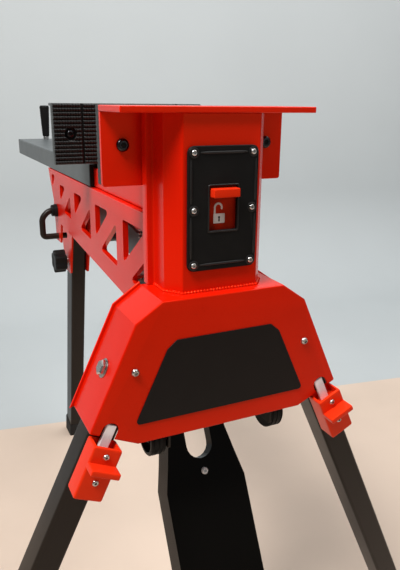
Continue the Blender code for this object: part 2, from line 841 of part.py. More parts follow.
def inset_walls():
    """Inside of the housing: its walls moved in by the sheet, left open below."""
    reach = SHOULDER + (SIDE_L + CORNER_L) * SIDE_DIR
    path = [tuple(reach), tuple(SHOULDER), (HOUSING_TOP_W / 2, HOUSING_TOP)]
    path += [(-x, z) for x, z in reversed(path)]
    return thicken(path, SHEET_T)[len(path):]


def build_housing(seats):
    """Trapezoid leg housing with arched latch notches, label plate and front screws."""
    housing = slab("housing", housing_outline(), -HOUSING_FRONT, HOUSING_REAR, "XZ")
    soften(housing, HOUSING_FOLD_R, 2)
    front = -HOUSING_FRONT + SHEET_T
    rear = HOUSING_REAR - SHEET_T
    cut(housing, slab("housing_inside", inset_walls(), front, rear, "XZ"))
    cut(housing, block("housing_mouth", (-CORNER.x, front, BOTTOM.y - CORNER_L),
                       (CORNER.x, rear, BOTTOM.y + SHEET_T + WELD_IN)))
    for seat in seats:
        rear = HOUSING_REAR - LEG_PIVOT_Y
        front = -HOUSING_FRONT - LEG_PIVOT_Y
        wide = LEG_INSET - SHEET_T - HOLE_GAP
        slot = block("leg_slot", (-wide, rear - 2 * CUT_PAST, -CORNER_DOWN - CORNER_L),
                     (wide, rear + 2 * CUT_PAST, LEG_SLOT_UP))
        half = NOTCH_W / 2
        arch = [(-half, -CORNER_DOWN - NOTCH_UP), (half, -CORNER_DOWN - NOTCH_UP)]
        arch += arc((0.0, -CORNER_DOWN + NOTCH_UP - half), half, 0, 180, 10)
        notch = slab("latch_notch", arch, front - 2 * CUT_PAST, front + 2 * CUT_PAST, "XZ")
        for tool in (slot, notch):
            seated(tool, seat)
            cut(housing, tool)
    screw_x = SHOULDER.x + (HOUSING_SCREW_DOWN - SHOULDER_DROP) * math.tan(LEG_SPLAY) - HOUSING_SCREW_IN
    spots = [(side * screw_x, HOUSING_TOP - HOUSING_SCREW_DOWN) for side in (-1, 1)]
    for spot in spots:
        weld(housing, screw_head("housing_screw", spot, HOUSING_SCREW_R, HOUSING_SCREW_T,
                                 -HOUSING_FRONT + WELD_IN, HOUSING_SCREW_R / 2, SHEET_T + CUT_PAST))

    low = BOTTOM.y + LABEL_UP
    wall = (SHOULDER.y - low) * math.tan(LEG_SPLAY) + SHOULDER.x
    right = [(wall - LABEL_LOW_IN, low), (wall - LABEL_SIDE_IN, low + LABEL_H - LABEL_CUT),
             (wall - LABEL_TOP_IN, low + LABEL_H)]
    label = slab("label_plate", rounded(mirrored(right), LABEL_R, 3), -HOUSING_FRONT - GAP - LABEL_T,
                 -HOUSING_FRONT - GAP, "XZ")
    place(label, PLASTIC)

    inner = LEG_W / 2 + PIVOT_GAP
    for side, seat in zip((-1, 1), seats):
        word = "left" if side < 0 else "right"
        edges = sorted((-side * inner, -side * (inner + SHEET_T)))
        front = -HOUSING_FRONT + SHEET_T / 2 - LEG_PIVOT_Y
        rear = HOUSING_REAR - SHEET_T / 2 - LEG_PIVOT_Y
        outline = rounded(rectangle((front, -PIVOT_PLATE_DOWN), (rear, PIVOT_PLATE_UP)), SHEET_T, 2)
        plate = slab("pivot_plate", outline, edges[0], edges[1], "YZ")
        seated(plate, seat)
        weld(housing, plate)
        hole = bar("bolt_hole", (-2 * LEG_INSET, 0, 0), (2 * LEG_INSET, 0, 0), PIVOT_BOLT_R + HOLE_GAP)
        seated(hole, seat)
        cut(housing, hole)
        end = inner + SHEET_T + PIVOT_NUT_T + SHEET_T
        bolt = turned(f"leg_pivot_bolt_{word}", hex_head_profile(LEG_INSET), 6)
        start = LEG_INSET + SHEET_T / 2
        profile = [(0.0, start), (PIVOT_BOLT_R, start), (PIVOT_BOLT_R, -end), (0.0, -end)]
        shank = turned("pivot_shank", profile, 20)
        weld(bolt, shank)
        nut_top = -inner - SHEET_T - GAP
        nut_low = nut_top - PIVOT_NUT_T
        nut_r = PIVOT_HEAD_R * 0.95
        nut = turned("pivot_nut", [(0.0, nut_top), (nut_r, nut_top), (nut_r, nut_low), (0.0, nut_low)], 6)
        weld(bolt, nut)
        for piece in (bolt, shank, nut):
            piece.rotation_euler = (0.0, side * math.pi / 2, 0.0)
        seated(bolt, seat)
        place(bolt, STEEL)
    place(housing, RED)


def hex_head_profile(face):
    """Washer-faced head on the outside wall, from the head's top down to the wall."""
    top = face + GAP + PIVOT_HEAD_T
    return [(0.0, top), (PIVOT_HEAD_R * 0.8, top), (PIVOT_HEAD_R, top - 0.0015), (PIVOT_HEAD_R, face + GAP),
            (0.0, face + GAP)]


def seated(piece, seat):
    """Put a piece, made about the origin, where a seat empty stands."""
    bpy.context.view_layer.update()
    for member in family(piece):
        member.matrix_world = seat.matrix_world @ member.matrix_world


def build_front_leg(side):
    """One splayed front leg on its fold axis, with its foot and its latch."""
    word = "left" if side < 0 else "right"
    fold = empty(f"{word}_leg_axis", (side * LEG_PIVOT.x, LEG_PIVOT_Y, LEG_PIVOT.y), ROOT,
                 (0.0, -side * LEG_SPLAY, 0.0))
    floor_turn = Matrix.Rotation(side * LEG_SPLAY, 4, "Y")
    half_w = LEG_W / 2
    half_d = LEG_D / 2
    leg = tube(f"front_leg_{word}", half_w, half_d, -LEG_L - FOOT_SPARE, LEG_TOP)
    cut(leg, bar("leg_hole", (-LEG_W, 0, 0), (LEG_W, 0, 0), PIVOT_BOLT_R + HOLE_GAP))
    cut(leg, floor_block("leg_floor", floor_turn, LEG_L, FOOT_SOLE))
    place(leg, BLACK, fold)

    wide = half_w + GAP + FOOT_WALL
    deep = half_d + GAP + FOOT_WALL
    foot = block(f"front_foot_{word}", (-wide, -deep, -LEG_L - FOOT_SPARE), (wide, deep, -LEG_L + FOOT_H))
    soften(foot, FOOT_R, 2)
    cut(foot, floor_block("foot_floor", floor_turn, LEG_L, 0.0))
    socket = block("foot_socket", (-half_w - GAP, -half_d - GAP, -LEG_L - FOOT_SPARE),
                   (half_w + GAP, half_d + GAP, -LEG_L + FOOT_H + CUT_PAST))
    cut(socket, floor_block("socket_floor", floor_turn, LEG_L, FOOT_SOLE - GAP))
    cut(foot, socket)
    place(foot, RUBBER, fold)

    latch = empty(f"{word}_latch_axis", (0.0, 0.0, -CORNER_DOWN), fold)
    face = -half_d - GAP
    top = -LATCH_DROP
    low = top - LATCH_L
    slider = block(f"latch_slider_{word}", (-LATCH_W / 2, face - LATCH_T, low), (LATCH_W / 2, face, top))
    soften(slider, LATCH_R, 2)
    middle = (top + low) / 2 + LEDGE_UP
    ledge = block("latch_ledge", (-LATCH_W / 2, face - LATCH_T - LEDGE_OUT, middle - LEDGE_T / 2),
                  (LATCH_W / 2, face - LATCH_T + 2 * LATCH_R, middle + LEDGE_T / 2))
    weld(slider, soften(ledge, LEDGE_R, 2))
    cut(slider, block("latch_pocket", (-LATCH_W / 2 + POCKET_WALL, face - LATCH_T + POCKET_WALL, top - POCKET_D),
                      (LATCH_W / 2 - POCKET_WALL, face - POCKET_WALL, top + CUT_PAST)))
    tongue_y = -HOUSING_FRONT - LEG_PIVOT_Y + TONGUE_BACK
    tongue_low = low + LATCH_L * 0.45
    cut(slider, block("tongue_slot", (-TONGUE_W / 2 - GAP, tongue_y - GAP, tongue_low - GAP),
                      (TONGUE_W / 2 + GAP, tongue_y + TONGUE_T + GAP, top + CUT_PAST)))
    place(slider, RED_PLASTIC, latch)
    tongue = block(f"latch_tongue_{word}", (-TONGUE_W / 2, tongue_y, tongue_low),
                   (TONGUE_W / 2, tongue_y + TONGUE_T, TONGUE_UP))
    place(soften(tongue, EDGE_R, 1), STEEL, latch)


def tube(name, half_w, half_d, low, high):
    """A rectangular tube along Z with rounded corners."""
    outer = rounded(rectangle((-half_w, -half_d), (half_w, half_d)), LEG_BEND_R, 3)
    in_w = half_w - LEG_WALL
    in_d = half_d - LEG_WALL
    inner = rounded(rectangle((-in_w, -in_d), (in_w, in_d)), LEG_BEND_R - LEG_WALL, 3)
    return slab(name, outer, low, high, "XY", [inner])


def floor_block(name, turn, length, height):
    """A tilted block whose top is level with the floor, or a height above it, in a leg's own frame."""
    tool = block(name, (-PEDAL_L, -PEDAL_L, -PEDAL_L), (PEDAL_L, PEDAL_L, 0.0))
    level = Matrix.Translation((0.0, 0.0, -length)) @ turn @ Matrix.Translation((0.0, 0.0, height))
    bpy.context.view_layer.update()
    tool.matrix_world = level @ tool.matrix_world
    return tool


def build_rollers():
    """Axle plates inside the housing, the axle and two hollow transport rollers."""
    plate_x = ROLLER_X - SWING_GAP - SHEET_T
    front = -HOUSING_FRONT + SHEET_T + GAP
    rear = HOUSING_REAR - SHEET_T - GAP
    low = ROLLER_Z - AXLE_PLATE_DOWN
    outline = rounded(rectangle((front, low), (rear, low + AXLE_PLATE_H)), SHEET_T, 2)
    end = ROLLER_X + ROLLER_W + ROLLER_EDGE
    axle = bar("wheel_axle", (-end, ROLLER_Y, ROLLER_Z), (end, ROLLER_Y, ROLLER_Z), AXLE_R, 24)
    for side in (-1, 1):
        edges = sorted((side * plate_x, side * (plate_x + SHEET_T)))
        weld(axle, slab("axle_plate", outline, edges[0], edges[1], "YZ"))
    place(axle, BLACK)
    for side in (-1, 1):
        word = "left" if side < 0 else "right"
        spin = empty(f"{word}_wheel_axis", (side * (ROLLER_X + ROLLER_W / 2), ROLLER_Y, ROLLER_Z), ROOT)
        out = ROLLER_W / 2
        cup = ROLLER_R - ROLLER_WALL
        bore = AXLE_R + AXLE_GAP
        hub = AXLE_R + HUB_WALL
        tread = out - ROLLER_EDGE
        ring = [(hub, tread), (hub, ROLLER_WEB), (cup, ROLLER_WEB), (cup, out), (ROLLER_R - ROLLER_EDGE, out),
                (ROLLER_R, tread), (ROLLER_R, -tread), (ROLLER_R - ROLLER_EDGE, -out), (bore, -out),
                (bore, tread)]
        wheel = turned(f"wheel_{word}", ring, 28, closed=True)
        wheel.rotation_euler = (0.0, side * math.pi / 2, 0.0)
        place(wheel, PLASTIC, spin)


def truss_holes():
    """Right-angled triangles: an upper one in front of each post, a lower one behind it, and one at the end."""
    holes = []
    for post in TRUSS_POSTS:
        foot = chassis_low(post) + TRUSS_FOOT_BAND
        tip = post - TRUSS_HIGH_SLANT * (TRUSS_TOP - foot)
        holes.append([(post, foot), (post, TRUSS_TOP), (tip, TRUSS_TOP)])
    for post in TRUSS_POSTS[:-1]:
        near = post + TRUSS_POST
        foot = chassis_low(near) + TRUSS_LOW_BAND
        holes.append(lower_hole(near, foot, TRUSS_TOP - TRUSS_TIP_BAND - foot))
    near = BACK_REAR + GAP + TRUSS_FRONT_IN
    holes.append(lower_hole(near, chassis_low(near) + TRUSS_LOW_BAND, TRUSS_FRONT_H))
    post = CHASSIS_REAR - TRUSS_END_IN
    top = CHASSIS_TOP - TRUSS_END_BAND
    holes.append([(post, top - TRUSS_END_H), (post, top), (post - TRUSS_END_W, top)])
    return holes


def lower_hole(near, foot, height):
    """A triangle that stands on the lower band, upright at its front."""
    far = near + TRUSS_LOW_SLANT * height
    return [(near, foot), (far, foot + CHASSIS_RISE * (far - near)), (near, foot + height)]


def grown(outline, amount):
    """A closed outline with every side moved outwards by the same amount."""
    ahead = outline[1:] + outline[:1]
    area = sum(here[0] * after[1] - after[0] * here[1] for here, after in zip(outline, ahead))
    way = math.copysign(amount, area)
    result = []
    for before, here, after in zip(outline[-1:] + outline[:-1], outline, ahead):
        run = (Vector(here) - Vector(before)).normalized()
        first = Vector((run.y, -run.x))
        run = (Vector(after) - Vector(here)).normalized()
        second = Vector((run.y, -run.x))
        result.append(tuple(Vector(here) + (first + second) * way / (1.0 + first.dot(second))))
    return result


def build_chassis():
    """Two truss side plates with collared openings, the tie with its web between them and the rear cross plate."""
    start = HOUSING_REAR + GAP
    lug_low = PULL_LOW - LUG_DOWN
    lug_front = PULL_Y - LUG_W / 2
    lug_rear = PULL_Y + LUG_W / 2
    outline = [(BACK_REAR + GAP, CHASSIS_TOP), (BACK_REAR + GAP, HOUSING_TOP), (start, HOUSING_TOP),
               (start, chassis_low(start)), (lug_front - LUG_SLOPE, chassis_low(lug_front - LUG_SLOPE)),
               (lug_front, lug_low), (lug_rear, lug_low), (lug_rear + LUG_SLOPE / 2, PULL_HIGH + LUG_W / 2),
               (CHASSIS_REAR, CHASSIS_TOP)]
    for side in (-1, 1):
        word = "left" if side < 0 else "right"
        holes = []
        if side < 0:
            holes.append(circle((PULL_Y, PULL_HIGH), PULL_PIN_R + HOLE_GAP, 16))
            holes.append(circle((PULL_Y, PULL_LOW), PULL_ROD_R + HOLE_GAP, 16))
        edges = sorted((side * CHASSIS_IN, side * CHASSIS_W / 2))
        plate = slab(f"chassis_{word}", outline, edges[0], edges[1], "YZ", holes)
        inside = side * (CHASSIS_IN - COLLAR_D)
        collar = sorted((side * (CHASSIS_IN + CHASSIS_T / 2), inside))
        bore = sorted((side * (CHASSIS_W / 2 + CUT_PAST), inside - side * CUT_PAST))
        for hole in truss_holes():
            wall = rounded(grown(hole, COLLAR_T), TRUSS_R + COLLAR_T, 2)
            weld(plate, slab("truss_collar", wall, collar[0], collar[1], "YZ"))
            cut(plate, slab("truss_bore", rounded(hole, TRUSS_R, 2), bore[0], bore[1], "YZ"))
        cut(plate, bar("pivot_seat", (side * (CHASSIS_IN - CUT_PAST), PEDAL_Y, PEDAL_Z),
                       (side * (CHASSIS_IN + CHASSIS_T / 2), PEDAL_Y, PEDAL_Z), PEDAL_PIVOT_R + GAP, 16))
        lip = sorted((side * (CHASSIS_IN + CHASSIS_T / 2), side * (CHASSIS_IN - CHASSIS_FLANGE)))
        weld(plate, block("chassis_lip", (lip[0], BACK_REAR + GAP + CHASSIS_T / 2, CHASSIS_TOP - CHASSIS_T),
                          (lip[1], CHASSIS_REAR - CHASSIS_T, CHASSIS_TOP)))
        place(plate, RED)
    reach = CHASSIS_IN - GAP
    tie_z = chassis_low(TIE_Y) + TIE_UP
    tie = bar("chassis_tie", (-reach, TIE_Y, tie_z), (reach, TIE_Y, tie_z), TIE_R, 16)
    end = CROSS_REAR - CHASSIS_T - GAP
    web = [(WEB_FRONT, chassis_low(WEB_FRONT) + WEB_UP), (end, chassis_low(end) + WEB_UP),
           (end, TRUSS_TOP - WEB_REAR_DROP), (WEB_FRONT, TRUSS_TOP - WEB_FRONT_DROP)]
    weld(tie, slab("tie_web", web, -WEB_T / 2, WEB_T / 2, "YZ"))
    place(tie, GREY)

    outline = rectangle((-reach, chassis_low(PULL_Y) + CROSS_UP), (reach, CHASSIS_TOP - CHASSIS_T - GAP))
    holes = [circle((x, DRIVE_Z), ROD_R + HOLE_GAP, 16) for x in (RELEASE_X, DRIVE_X)]
    plate = slab("rear_cross_plate", outline, CROSS_REAR - CHASSIS_T, CROSS_REAR, "XZ", holes)
    place(plate, RED)


def build_rail():
    """Box rail on the chassis flanges and the glide round its rear end."""
    half = RAIL_W / 2
    rail = block("rail", (-half, BACK_REAR + GAP, RAIL_LOW), (half, CHASSIS_REAR, RAIL_TOP))
    soften(rail, RAIL_R, 2)
    cut(rail, block("rail_inside", (-half + SHEET_T, BACK_Y, RAIL_LOW + SHEET_T),
                    (half - SHEET_T, CHASSIS_REAR + CUT_PAST, RAIL_TOP - SHEET_T)))
    cut(rail, block("rail_slot", (-RAIL_SLOT_LEFT, CHASSIS_REAR - RAIL_SLOT_L, RAIL_LOW - CUT_PAST),
                    (FORK_IN - GAP, CHASSIS_REAR + CUT_PAST, RAIL_LOW + SHEET_T + CUT_PAST)))
    cut(rail, bar("pin_hole", (-half - CUT_PAST, LOCK_PLATE_Y, LOCK_PIN_Z),
                  (half + CUT_PAST, LOCK_PLATE_Y, LOCK_PIN_Z), LOCK_PIN_R + GAP, 12))
    place(rail, RED)
    place(glide("rear_glide", CHASSIS_REAR - GLIDE_L, CHASSIS_REAR, GAP, SLIDE_GAP), PLASTIC)


def glide(name, front, rear, on_rail, on_beam):
    """A plastic saddle that fills the space between the rail and the beam."""
    half = RAIL_W / 2 + on_rail
    wide = BEAM_W / 2 - SHEET_T - on_beam
    low = RAIL_LOW + GLIDE_UP
    path = [(-half, low), (-half, RAIL_TOP + on_rail), (half, RAIL_TOP + on_rail), (half, low)]
    top = BEAM_TOP - SHEET_T - on_beam
    outline = path + [(wide, low), (wide, top), (-wide, top), (-wide, low)]
    return slab(name, outline, front, rear, "XZ")


def build_beam():
    """Sliding beam over the rail with its shoe, end cap, draw bar, moving jaw and pull handle."""
    slide = empty("jaw_axis", (0.0, BEAM_FRONT, BEAM_TOP), ROOT)
    half = BEAM_W / 2
    low = CHASSIS_TOP + BEAM_CLEAR
    path = [(half, low), (half, BEAM_TOP), (-half, BEAM_TOP), (-half, low)]
    path = rounded(path, SHEET_T + BEND_R, 3, closed=False)
    beam = slab("slide_beam", thicken(path, SHEET_T), BEAM_FRONT, BEAM_REAR, "XZ")
    carried(beam, GREY, slide)

    shoe = glide("front_glide", BEAM_FRONT - SHOE_LIP + WELD_IN, BEAM_FRONT + GLIDE_L, SLIDE_GAP, GAP)
    rim = [(-half, low), (-half, BEAM_TOP), (half, BEAM_TOP), (half, low)]
    gap = RAIL_W / 2 + SLIDE_GAP
    rim += [(gap, low), (gap, RAIL_TOP + SLIDE_GAP), (-gap, RAIL_TOP + SLIDE_GAP), (-gap, low)]
    weld(shoe, slab("shoe_rim", rim, BEAM_FRONT - SHOE_LIP, BEAM_FRONT - GAP, "XZ"))
    carried(shoe, PLASTIC, slide)

    inside = half - SHEET_T - GAP
    cap = block("beam_end_cap", (-half, BEAM_REAR + GAP, low), (half, BEAM_REAR + CAP_T, BEAM_TOP))
    soften(cap, CAP_R, 2)
    weld(cap, block("cap_plug", (-inside, BEAM_REAR - CAP_PLUG_L, low + SWING_GAP),
                    (inside, BEAM_REAR + CAP_T / 2, BEAM_TOP - SHEET_T - GAP)))
    bar_low = DRAW_BAR_Z - DRAW_BAR_T / 2
    cut(cap, block("bar_socket", (-DRAW_BAR_W / 2 - GAP, BEAM_REAR - CAP_PLUG_L - CUT_PAST, bar_low - GAP),
                   (DRAW_BAR_W / 2 + GAP, BEAM_REAR - CAP_SOCKET, bar_low + DRAW_BAR_T + GAP)))
    carried(cap, PLASTIC, slide)
    draw = block("draw_bar", (-DRAW_BAR_W / 2, BEAM_FRONT + DRAW_BAR_IN, bar_low),
                 (DRAW_BAR_W / 2, BEAM_REAR - CAP_SOCKET - GAP, bar_low + DRAW_BAR_T))
    carried(draw, STEEL, slide)

    wide = JAW_W / 2
    jaw_low = BENCH_H - JAW_H
    plate_y = MOVING_PAD_Y + PAD_T + GAP
    section = pad_profile(MOVING_PAD_Y, MOVING_PAD_Y + PAD_T, jaw_low, BENCH_H)
    pad = slab("moving_jaw_pad", section, -wide, wide, "YZ")
    for x in (-JAW_BOLT_X, JAW_BOLT_X):
        start = (x, MOVING_PAD_Y - CUT_PAST, JAW_BOLT_Z)
        cut(pad, bar("pad_bore", start, (x, plate_y + CUT_PAST, JAW_BOLT_Z), JAW_BOLT_R + HOLE_GAP, 16))
        cut(pad, bar("pad_sink", start, (x, MOVING_PAD_Y + PAD_SINK, JAW_BOLT_Z),
                     JAW_BOLT_HEAD_R + HOLE_GAP, 20))
        groove = math.copysign(JAW_BOLT_X - PAD_GROOVE_IN, x)
        cut(pad, block("pad_groove", (groove - PAD_GROOVE_W / 2, MOVING_PAD_Y - CUT_PAST, jaw_low - CUT_PAST),
                       (groove + PAD_GROOVE_W / 2, MOVING_PAD_Y + PAD_GROOVE_D, BENCH_H + CUT_PAST)))
    carried(pad, PLASTIC, slide)
    plate = block("moving_jaw_plate", (-wide, plate_y, jaw_low), (wide, plate_y + JAW_PLATE_T, BENCH_H))
    weld(plate, block("plate_return", (-wide, plate_y, BENCH_H - PLATE_RETURN_T),
                      (wide, plate_y + PLATE_RETURN_D, BENCH_H)))
    for x in (-JAW_BOLT_X, JAW_BOLT_X):
        cut(plate, bar("plate_bore", (x, plate_y - CUT_PAST, JAW_BOLT_Z),
                       (x, plate_y + JAW_PLATE_T + CUT_PAST, JAW_BOLT_Z), JAW_BOLT_R + HOLE_GAP, 16))
    carried(plate, GREY, slide)
    for word, x in (("left", -JAW_BOLT_X), ("right", JAW_BOLT_X)):
        bolt = jaw_bolt(f"moving_jaw_bolt_{word}", x, MOVING_PAD_Y + PAD_SINK, PAD_T - PAD_SINK + JAW_PLATE_T)
        carried(bolt, BLACK, slide)

    foot_y = plate_y + JAW_PLATE_T + GAP
    foot_top = BEAM_TOP + BRACKET_T
    sunk = foot_top - BRACKET_T / 2
    bracket = block("jaw_bracket", (-BRACKET_W / 2, foot_y, BEAM_TOP + GAP),
                    (BRACKET_W / 2, foot_y + BRACKET_L, foot_top))
    rib_top = BENCH_H - PLATE_RETURN_T - BRACKET_DROP
    rib_end = foot_y + BRACKET_L - RIB_SHORT
    rib = [(foot_y, sunk), (rib_end, sunk), (rib_end, BEAM_TOP + RIB_TIP_H), (foot_y + RIB_TOP_D, rib_top),
           (foot_y, rib_top)]
    for x in (-RIB_X, RIB_X):
        weld(bracket, slab("jaw_rib", rib, x - RIB_T / 2, x + RIB_T / 2, "YZ"))
    weld(bracket, block("jaw_web", (-BRACKET_W / 2, foot_y, sunk),
                        (BRACKET_W / 2, foot_y + BRACKET_T, rib_top)))
    carried(bracket, GREY, slide)

    build_handle(slide)


def carried(piece, material, axis):
    """Hang a piece, made in the bench's own coordinates, on an unturned axis empty."""
    place(piece, material, axis)
    bpy.context.view_layer.update()
    shift = Matrix.Translation(-axis.matrix_world.translation)
    for member in family(piece):
        member.matrix_parent_inverse = shift


def build_handle(slide):
    """Tapered pull handle that turns on a stud through the beam."""
    stud = bar("handle_stud", (0.0, HANDLE_Y, BEAM_TOP + GAP), (0.0, HANDLE_Y, HANDLE_LOW + HANDLE_H * 0.7),
               STUD_R, 20)
    weld(stud, bar("stud_collar", (0.0, HANDLE_Y, BEAM_TOP + GAP), (0.0, HANDLE_Y, HANDLE_LOW - SLIDE_GAP),
                   STUD_R + STUD_COLLAR, 20))
    carried(stud, STEEL, slide)
    spin = empty("handle_axis", (0.0, HANDLE_Y - BEAM_FRONT, HANDLE_LOW - BEAM_TOP), slide)
    bore = STUD_R + STUD_GAP
    depth = HANDLE_H * 0.7 + SWING_GAP
    crown = HANDLE_CROWN * 0.3
    ring = [(0.0, HANDLE_H), (HANDLE_TOP_R - HANDLE_CROWN, HANDLE_H), (HANDLE_TOP_R - crown, HANDLE_H - crown)]
    ring += [(HANDLE_TOP_R, HANDLE_H - HANDLE_CROWN), (HANDLE_LOW_R, HANDLE_CROWN / 2)]
    ring += [(HANDLE_LOW_R - SWING_GAP, 0.0), (bore, 0.0), (bore, depth), (0.0, depth)]
    place(turned("handle_grip", ring, 24), PLASTIC, spin)


def build_rear_leg():
    """Rear leg between its fork plates, with pivot bolt, foot and lock lever."""
    fold = empty("rear_leg_axis", (0.0, REAR_PIVOT_Y, REAR_PIVOT_Z), ROOT, (REAR_LEAN, 0.0, 0.0))
    turn = Matrix.Rotation(-REAR_LEAN, 4, "X")
    half_w = REAR_LEG_W / 2
    half_d = REAR_LEG_D / 2
    leg = tube("rear_leg", half_w, half_d, -REAR_LEG_L - FOOT_SPARE, REAR_LEG_TOP)
    cut(leg, floor_block("rear_floor", turn, REAR_LEG_L, FOOT_SOLE))
    tip = Vector((PULL_Y - REAR_PIVOT_Y, PULL_HIGH - REAR_PIVOT_Z))
    tip.rotate(Matrix.Rotation(-REAR_LEAN, 2))
    run = tip.normalized()
    across = Vector((-run.y, run.x))
    heading = math.degrees(math.atan2(run.y, run.x))
    lever = arc(tuple(tip), LEVER_TIP_R, heading - 90, heading + 90, 8)
    lever += [tuple(across * LEVER_ROOT), tuple(-across * LEVER_ROOT)]
    weld(leg, slab("lock_lever", lever, -half_w, -half_w + LEVER_T, "YZ",
                   [circle(tuple(tip), PULL_PIN_R + HOLE_GAP, 12)]))
    cut(leg, bar("rear_hole", (-REAR_LEG_W, 0, 0), (REAR_LEG_W, 0, 0), REAR_PIVOT_R + HOLE_GAP))
    place(leg, BLACK, fold)

    wide = half_w + GAP + REAR_FOOT_WALL
    deep = half_d + GAP + REAR_FOOT_WALL
    foot = block("rear_foot", (-wide, -deep, -REAR_LEG_L - FOOT_SPARE), (wide, deep, -REAR_LEG_L + FOOT_H))
    soften(foot, FOOT_R, 2)
    cut(foot, floor_block("rear_foot_floor", turn, REAR_LEG_L, 0.0))
    socket = block("rear_socket", (-half_w - GAP, -half_d - GAP, -REAR_LEG_L - FOOT_SPARE),
                   (half_w + GAP, half_d + GAP, -REAR_LEG_L + FOOT_H + CUT_PAST))
    cut(socket, floor_block("rear_socket_floor", turn, REAR_LEG_L, FOOT_SOLE - GAP))
    cut(foot, socket)
    place(foot, RUBBER, fold)

    top = CHASSIS_TOP
    low = KNOB_Z - FORK_DOWN
    waist = REAR_PIVOT_Z - FORK_DOWN
    outline = [(FORK_FRONT, top), (CHASSIS_REAR + FORK_T, top)]
    outline += [(REAR_PIVOT_Y + FORK_BACK, REAR_PIVOT_Z + FORK_UP)]
    outline += [(REAR_PIVOT_Y + FORK_HEEL, REAR_PIVOT_Z - FORK_HEEL_DOWN)]
    outline += [(KNOB_Y + FORK_DOWN, low), (KNOB_Y - FORK_TOE, low), (REAR_PIVOT_Y - FORK_WAIST, waist)]
    outline += [(FORK_FRONT, PULL_HIGH - FORK_PULL_DOWN)]
    for side in (-1, 1):
        word = "left" if side < 0 else "right"
        holes = [circle((REAR_PIVOT_Y, REAR_PIVOT_Z), REAR_PIVOT_R + GAP, 16)]
        if side < 0:
            holes.append(circle((PULL_Y, PULL_HIGH), PULL_PIN_R + HOLE_GAP, 16))
            holes.append(circle((KNOB_Y, KNOB_Z), KNOB_SCREW_R + HOLE_GAP, 16))
        edges = sorted((side * FORK_IN, side * (FORK_IN + FORK_T)))
        fork = slab(f"rear_fork_{word}", rounded(outline, FORK_R, 2), edges[0], edges[1], "YZ", holes)
        place(fork, RED)
    reach = FORK_IN + FORK_T + GAP
    bolt = bar("rear_pivot_bolt", (-reach - WELD_IN, REAR_PIVOT_Y, REAR_PIVOT_Z),
               (reach + WELD_IN, REAR_PIVOT_Y, REAR_PIVOT_Z), REAR_PIVOT_R, 20)
    for side in (-1, 1):
        weld(bolt, bar("pivot_head", (side * reach, REAR_PIVOT_Y, REAR_PIVOT_Z),
                       (side * (reach + PIVOT_NUT_T), REAR_PIVOT_Y, REAR_PIVOT_Z), REAR_HEAD_R, 6))
    place(bolt, STEEL)


def build_knob():
    """Star knob whose screw clamps the rear leg through the left fork plate."""
    face = -FORK_IN - FORK_T
    turn = empty("knob_axis", (face, KNOB_Y, KNOB_Z), ROOT)
    steps = KNOB_LOBES * 8
    outline = []
    for index in range(steps):
        angle = 2 * math.pi * index / steps
        radius = KNOB_R * (0.9 + 0.1 * math.cos(KNOB_LOBES * angle))
        outline.append((radius * math.cos(angle), radius * math.sin(angle)))
    near = -KNOB_GAP
    bore = near - KNOB_L * 0.6
    knob = slab("clamp_knob", outline, near - KNOB_L, near, "YZ")
    soften(knob, KNOB_EDGE, 1)
    cut(knob, bar("knob_bore", (near + CUT_PAST, 0, 0), (bore, 0, 0), KNOB_SCREW_R + GAP, 16))
    place(knob, PLASTIC, turn)
    screw = bar("clamp_screw", (FORK_T + SWING_GAP - GAP, 0, 0), (bore + GAP, 0, 0), KNOB_SCREW_R, 16)
    weld(screw, bar("screw_collar", (-GAP, 0, 0), (near + GAP, 0, 0), KNOB_SCREW_R + KNOB_COLLAR, 20))
    place(screw, STEEL, turn)


def build_lock_pull():
    """D-shaped pull with its pin, and the barrel on the left side plate that guides it."""
    face = -CHASSIS_W / 2
    bore = PULL_ROD_R + SLIDE_GAP
    lip = BARREL_R + BARREL_LIP
    barrel = turned("lock_barrel", [(bore, BARREL_L), (BARREL_R - SWING_GAP, BARREL_L),
                                    (BARREL_R, BARREL_L - SWING_GAP), (BARREL_R, BARREL_LIP_L),
                                    (lip, BARREL_LIP_L), (lip, 0.0), (bore, 0.0)], 24, closed=True)
    barrel.rotation_euler = (0.0, -math.pi / 2, 0.0)
    barrel.location = (face - GAP, PULL_Y, PULL_HIGH)
    place(barrel, PLASTIC)

    slide = empty("pull_axis", (face, PULL_Y, PULL_HIGH), ROOT)
    out = -PULL_OUT
    drop = PULL_LOW - PULL_HIGH
    path = [(CHASSIS_T + PULL_TRAVEL, drop), (out, drop), (out, -PULL_SLANT), (-BARREL_L - PULL_ROD_R, 0.0),
            (-GAP, 0.0)]
    path = rounded(path, PULL_BEND_R, 4, closed=False)
    pull = wire("lock_pull", [(x, 0.0, z) for x, z in path], PULL_ROD_R)
    tip = CHASSIS_W / 2 - FORK_IN - GAP
    weld(pull, bar("lock_pin", (-PULL_PIN_R, 0, 0), (tip, 0, 0), PULL_PIN_R, 12))
    place(pull, BLACK, slide)


def pedal_half_width(down):
    """Half width of the pedal at a distance below its pivot."""
    neck = PEDAL_NECK_W / 2
    wide = PEDAL_W / 2
    share = min(1.0, max(0.0, (down - PEDAL_NECK_L) / PEDAL_FLARE_L))
    return neck + (wide - neck) * share ** 1.4


def pedal_outline(shrink, top, low):
    """Outline of the pedal in its own plane, moved in by a wall thickness."""
    flare = [PEDAL_NECK_L + PEDAL_FLARE_L * share for share in (0.0, 0.25, 0.56, 0.78, 1.0)]
    stations = [top] + flare + [low]
    right = [(pedal_half_width(down) - shrink, -down) for down in reversed(stations)]
    return mirrored(right)


